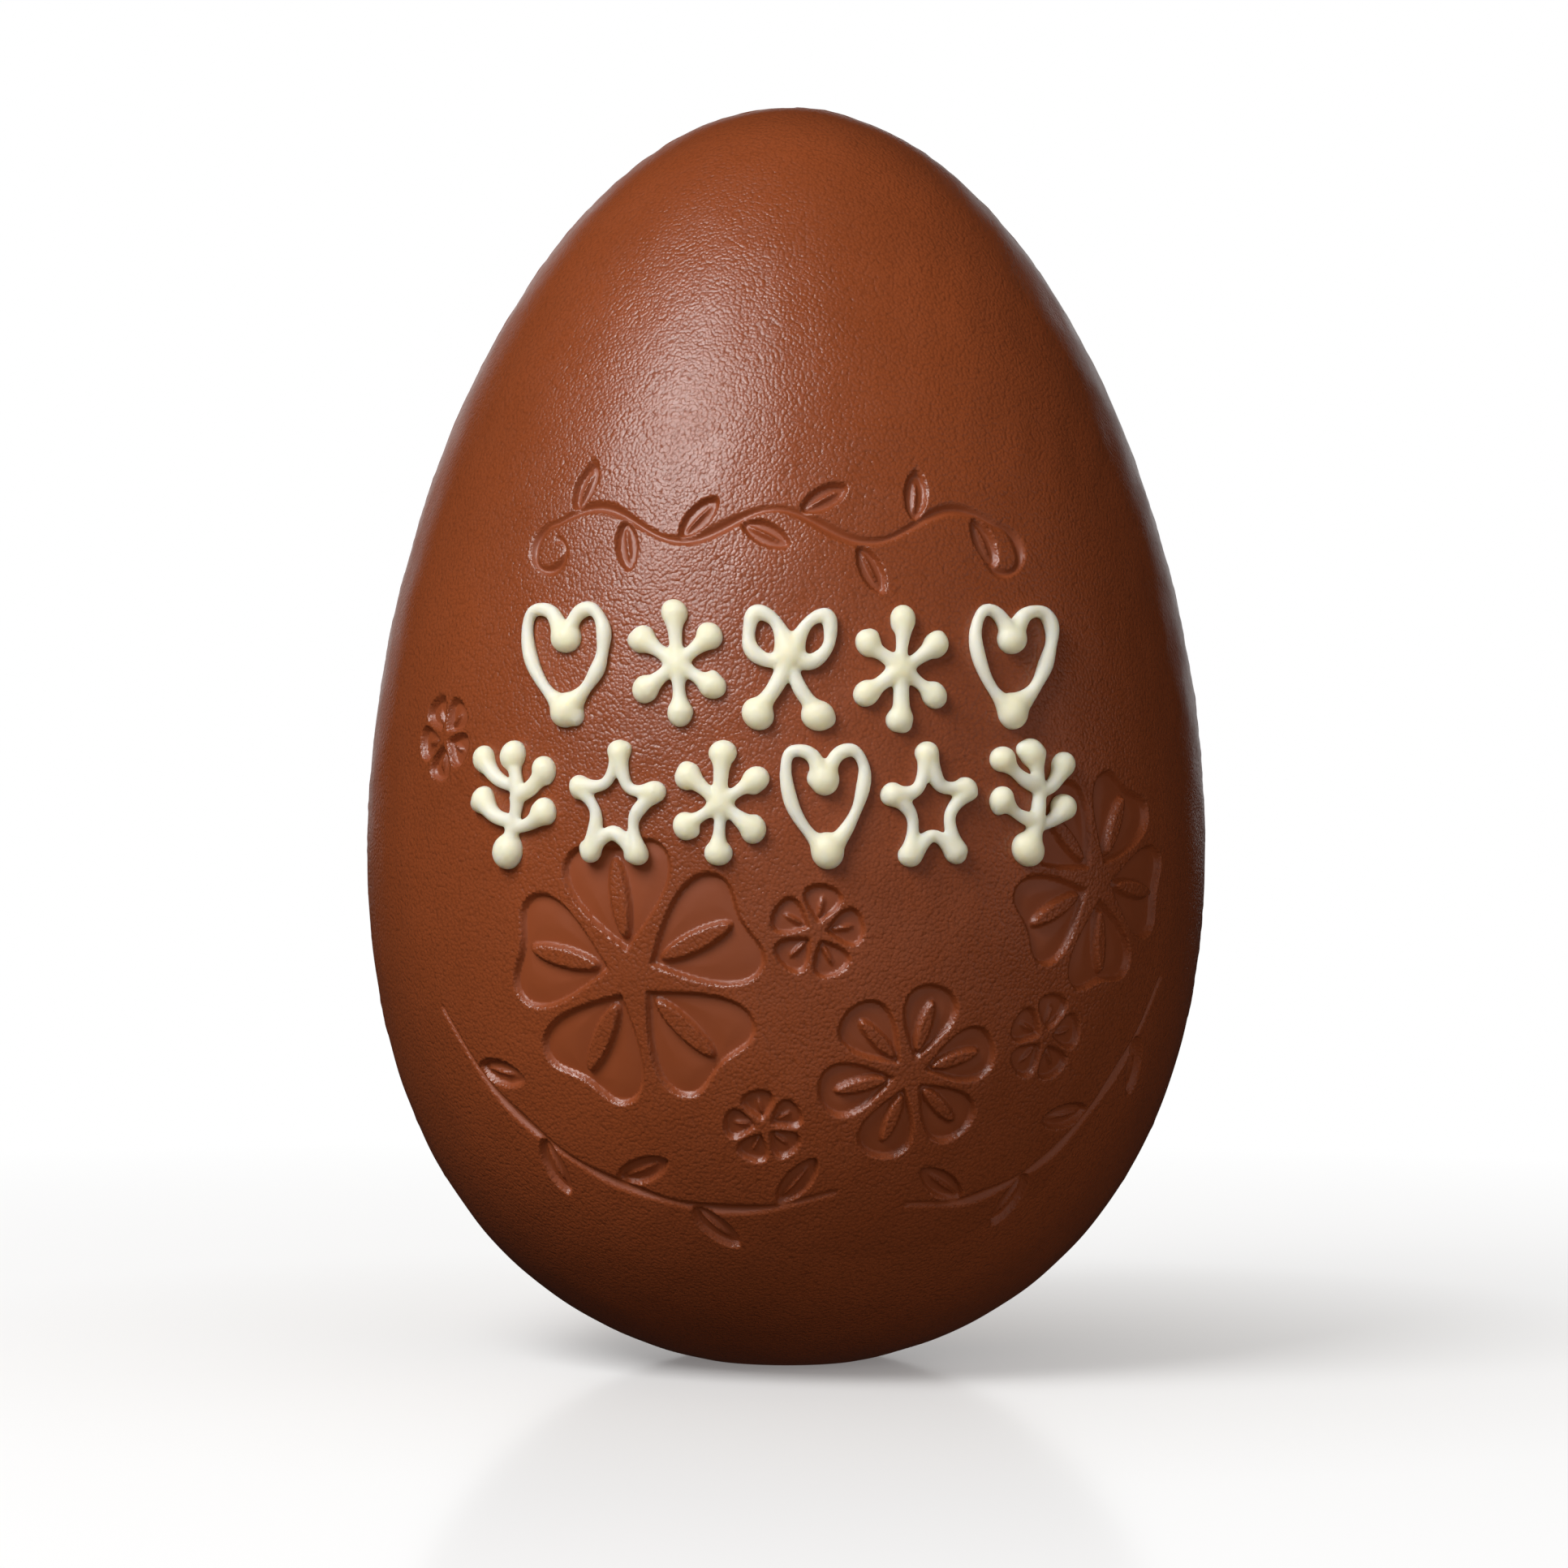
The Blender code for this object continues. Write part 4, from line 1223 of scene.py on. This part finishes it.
class CHOCOLATE_EGG_OT_pipe(bpy.types.Operator):
    """Pipes the hearts, daisies, bow, stars and sprigs"""

    bl_idname = "chocolate_egg.pipe"
    bl_label = "Pipe Ornaments"

    def execute(self, context):
        settings = context.scene.piping_settings
        finish = white_chocolate(settings)
        for motif in MOTIFS:
            pipe_ornaments(motif, settings, finish)
        return {"FINISHED"}


def add_floor(settings):
    """A round floor: rings of points whose distance grows as a power, with its middle at the egg."""
    turns = around(FLOOR_SIDES)
    reach = settings.floor_reach * np.linspace(0.0, 1.0, FLOOR_RINGS)[1:, None] ** 2
    ring = np.stack((reach * np.cos(turns), reach * np.sin(turns), 0.0 * reach + 0.0 * turns), axis=-1)
    index = np.arange(ring[..., 0].size).reshape(ring.shape[:2])
    grid = closed(index)
    triangles = np.concatenate((patch_triangles(grid, np.zeros(grid.shape)), fan(index[0], index.size)))
    mesh = new_mesh("floor", np.vstack((ring.reshape(-1, 3), (0.0, 0.0, 0.0))), triangles)
    mesh.materials.append(pale_floor(settings))
    floor = new_object("floor", mesh)
    floor.visible_diffuse = False
    floor.visible_glossy = False


def add_board():
    """A white board behind the egg, which the floor mirrors."""
    corners = [(x, BOARD_PLACE, z) for z in (0.0, BOARD_HEIGHT) for x in (-BOARD_REACH, BOARD_REACH)]
    mesh = new_mesh("board", np.array(corners), np.array(((0, 1, 3), (0, 3, 2))))
    finish = Finish("white_board")
    finish.show(finish.glow())
    mesh.materials.append(finish.material)
    board = new_object("board", mesh)
    board.visible_diffuse = False


def add_softbox(name, turn, rise, reach, size, power):
    """A rectangular light that faces the egg's middle, from an angle round, an angle up and a reach."""
    turn, rise = math.radians(turn), math.radians(rise)
    toward = Vector((math.sin(turn) * math.cos(rise), -math.cos(turn) * math.cos(rise), math.sin(rise)))
    lamp = bpy.data.lights.new(name, "AREA")
    lamp.shape = "RECTANGLE"
    lamp.size, lamp.size_y = size
    lamp.energy = power
    box = new_object(name, lamp)
    box.location = Vector((0.0, 0.0, 0.5 * EGG_HEIGHT)) + reach * toward
    box.rotation_euler = (-toward).to_track_quat("-Z", "Y").to_euler()
    return box


def add_backdrop(settings):
    """White for the camera, nearly black in reflections, and an even, weak light for all else."""
    world = bpy.data.worlds.new("backdrop")
    bpy.context.scene.world = world
    world.use_nodes = True
    tree = world.node_tree
    tree.nodes.clear()
    path = tree.nodes.new("ShaderNodeLightPath")
    out = tree.nodes.new("ShaderNodeOutputWorld")
    shades = []
    warm = solid(settings.ambient_tint)
    for shown, strength in ((warm, settings.ambient), (WHITE, settings.reflected), (WHITE, 1.0)):
        shade = tree.nodes.new("ShaderNodeBackground")
        shade.inputs["Color"].default_value = shown
        shade.inputs["Strength"].default_value = strength
        shades.append(shade.outputs["Background"])
    mixed = shades[0]
    for ray, shade in (("Is Glossy Ray", shades[1]), ("Is Camera Ray", shades[2])):
        blend = tree.nodes.new("ShaderNodeMixShader")
        tree.links.new(path.outputs[ray], blend.inputs[0])
        tree.links.new(mixed, blend.inputs[1])
        tree.links.new(shade, blend.inputs[2])
        mixed = blend.outputs["Shader"]
    tree.links.new(mixed, out.inputs["Surface"])


class CHOCOLATE_EGG_OT_set_stage(bpy.types.Operator):
    """Sets the camera, the softboxes, the backdrop and the floor"""

    bl_idname = "chocolate_egg.set_stage"
    bl_label = "Set Stage"

    def execute(self, context):
        settings = context.scene.stage_settings
        data = bpy.data.cameras.new("camera")
        data.sensor_width = SENSOR_MM
        data.lens = data.sensor_width * settings.distance / settings.frame_width
        data.clip_start, data.clip_end = CAMERA_CLIP
        camera = new_object("camera", data)
        aim = Vector((settings.aim_aside, 0.0, settings.aim_height))
        back = Vector((0.0, -math.cos(settings.elevation), math.sin(settings.elevation)))
        camera.location = aim + settings.distance * back
        turned = (-back).to_track_quat("-Z", "Y") @ Quaternion((0.0, 0.0, 1.0), settings.roll)
        camera.rotation_euler = turned.to_euler()
        context.scene.camera = camera
        add_floor(settings)
        add_board()
        add_backdrop(settings)
        for name, turn, rise, reach, size, glints in SOFTBOXES:
            box = add_softbox(name + "_light", turn, rise, reach, size, getattr(settings, name))
            box.visible_glossy = glints
        context.scene.view_settings.view_transform = "Standard"
        return {"FINISHED"}


class CHOCOLATE_EGG_PT_sidebar(bpy.types.Panel):
    """Sizes and colours of the egg, its piping and the stage, with a button for each step"""

    bl_idname = "CHOCOLATE_EGG_PT_sidebar"
    bl_label = "Chocolate Egg"
    bl_space_type = "VIEW_3D"
    bl_region_type = "UI"
    bl_category = "Chocolate Egg"

    def draw(self, context):
        groups = (
            (context.scene.stage_settings, CHOCOLATE_EGG_OT_set_stage),
            (context.scene.egg_settings, CHOCOLATE_EGG_OT_mould),
            (context.scene.piping_settings, CHOCOLATE_EGG_OT_pipe),
        )
        for settings, operator in groups:
            box = self.layout.box()
            for name in settings.__annotations__:
                box.prop(settings, name)
            box.operator(operator.bl_idname)


CLASSES = (
    EggSettings,
    PipingSettings,
    StageSettings,
    CHOCOLATE_EGG_OT_set_stage,
    CHOCOLATE_EGG_OT_mould,
    CHOCOLATE_EGG_OT_pipe,
    CHOCOLATE_EGG_PT_sidebar,
)


def register():
    for made in CLASSES:
        bpy.utils.register_class(made)
    bpy.types.Scene.egg_settings = bpy.props.PointerProperty(type=EggSettings)
    bpy.types.Scene.piping_settings = bpy.props.PointerProperty(type=PipingSettings)
    bpy.types.Scene.stage_settings = bpy.props.PointerProperty(type=StageSettings)


def unregister():
    del bpy.types.Scene.stage_settings
    del bpy.types.Scene.piping_settings
    del bpy.types.Scene.egg_settings
    for made in reversed(CLASSES):
        bpy.utils.unregister_class(made)


def main():
    register()
    bpy.ops.chocolate_egg.set_stage()
    bpy.ops.chocolate_egg.mould()
    bpy.ops.chocolate_egg.pipe()


if __name__ == "__main__":
    main()
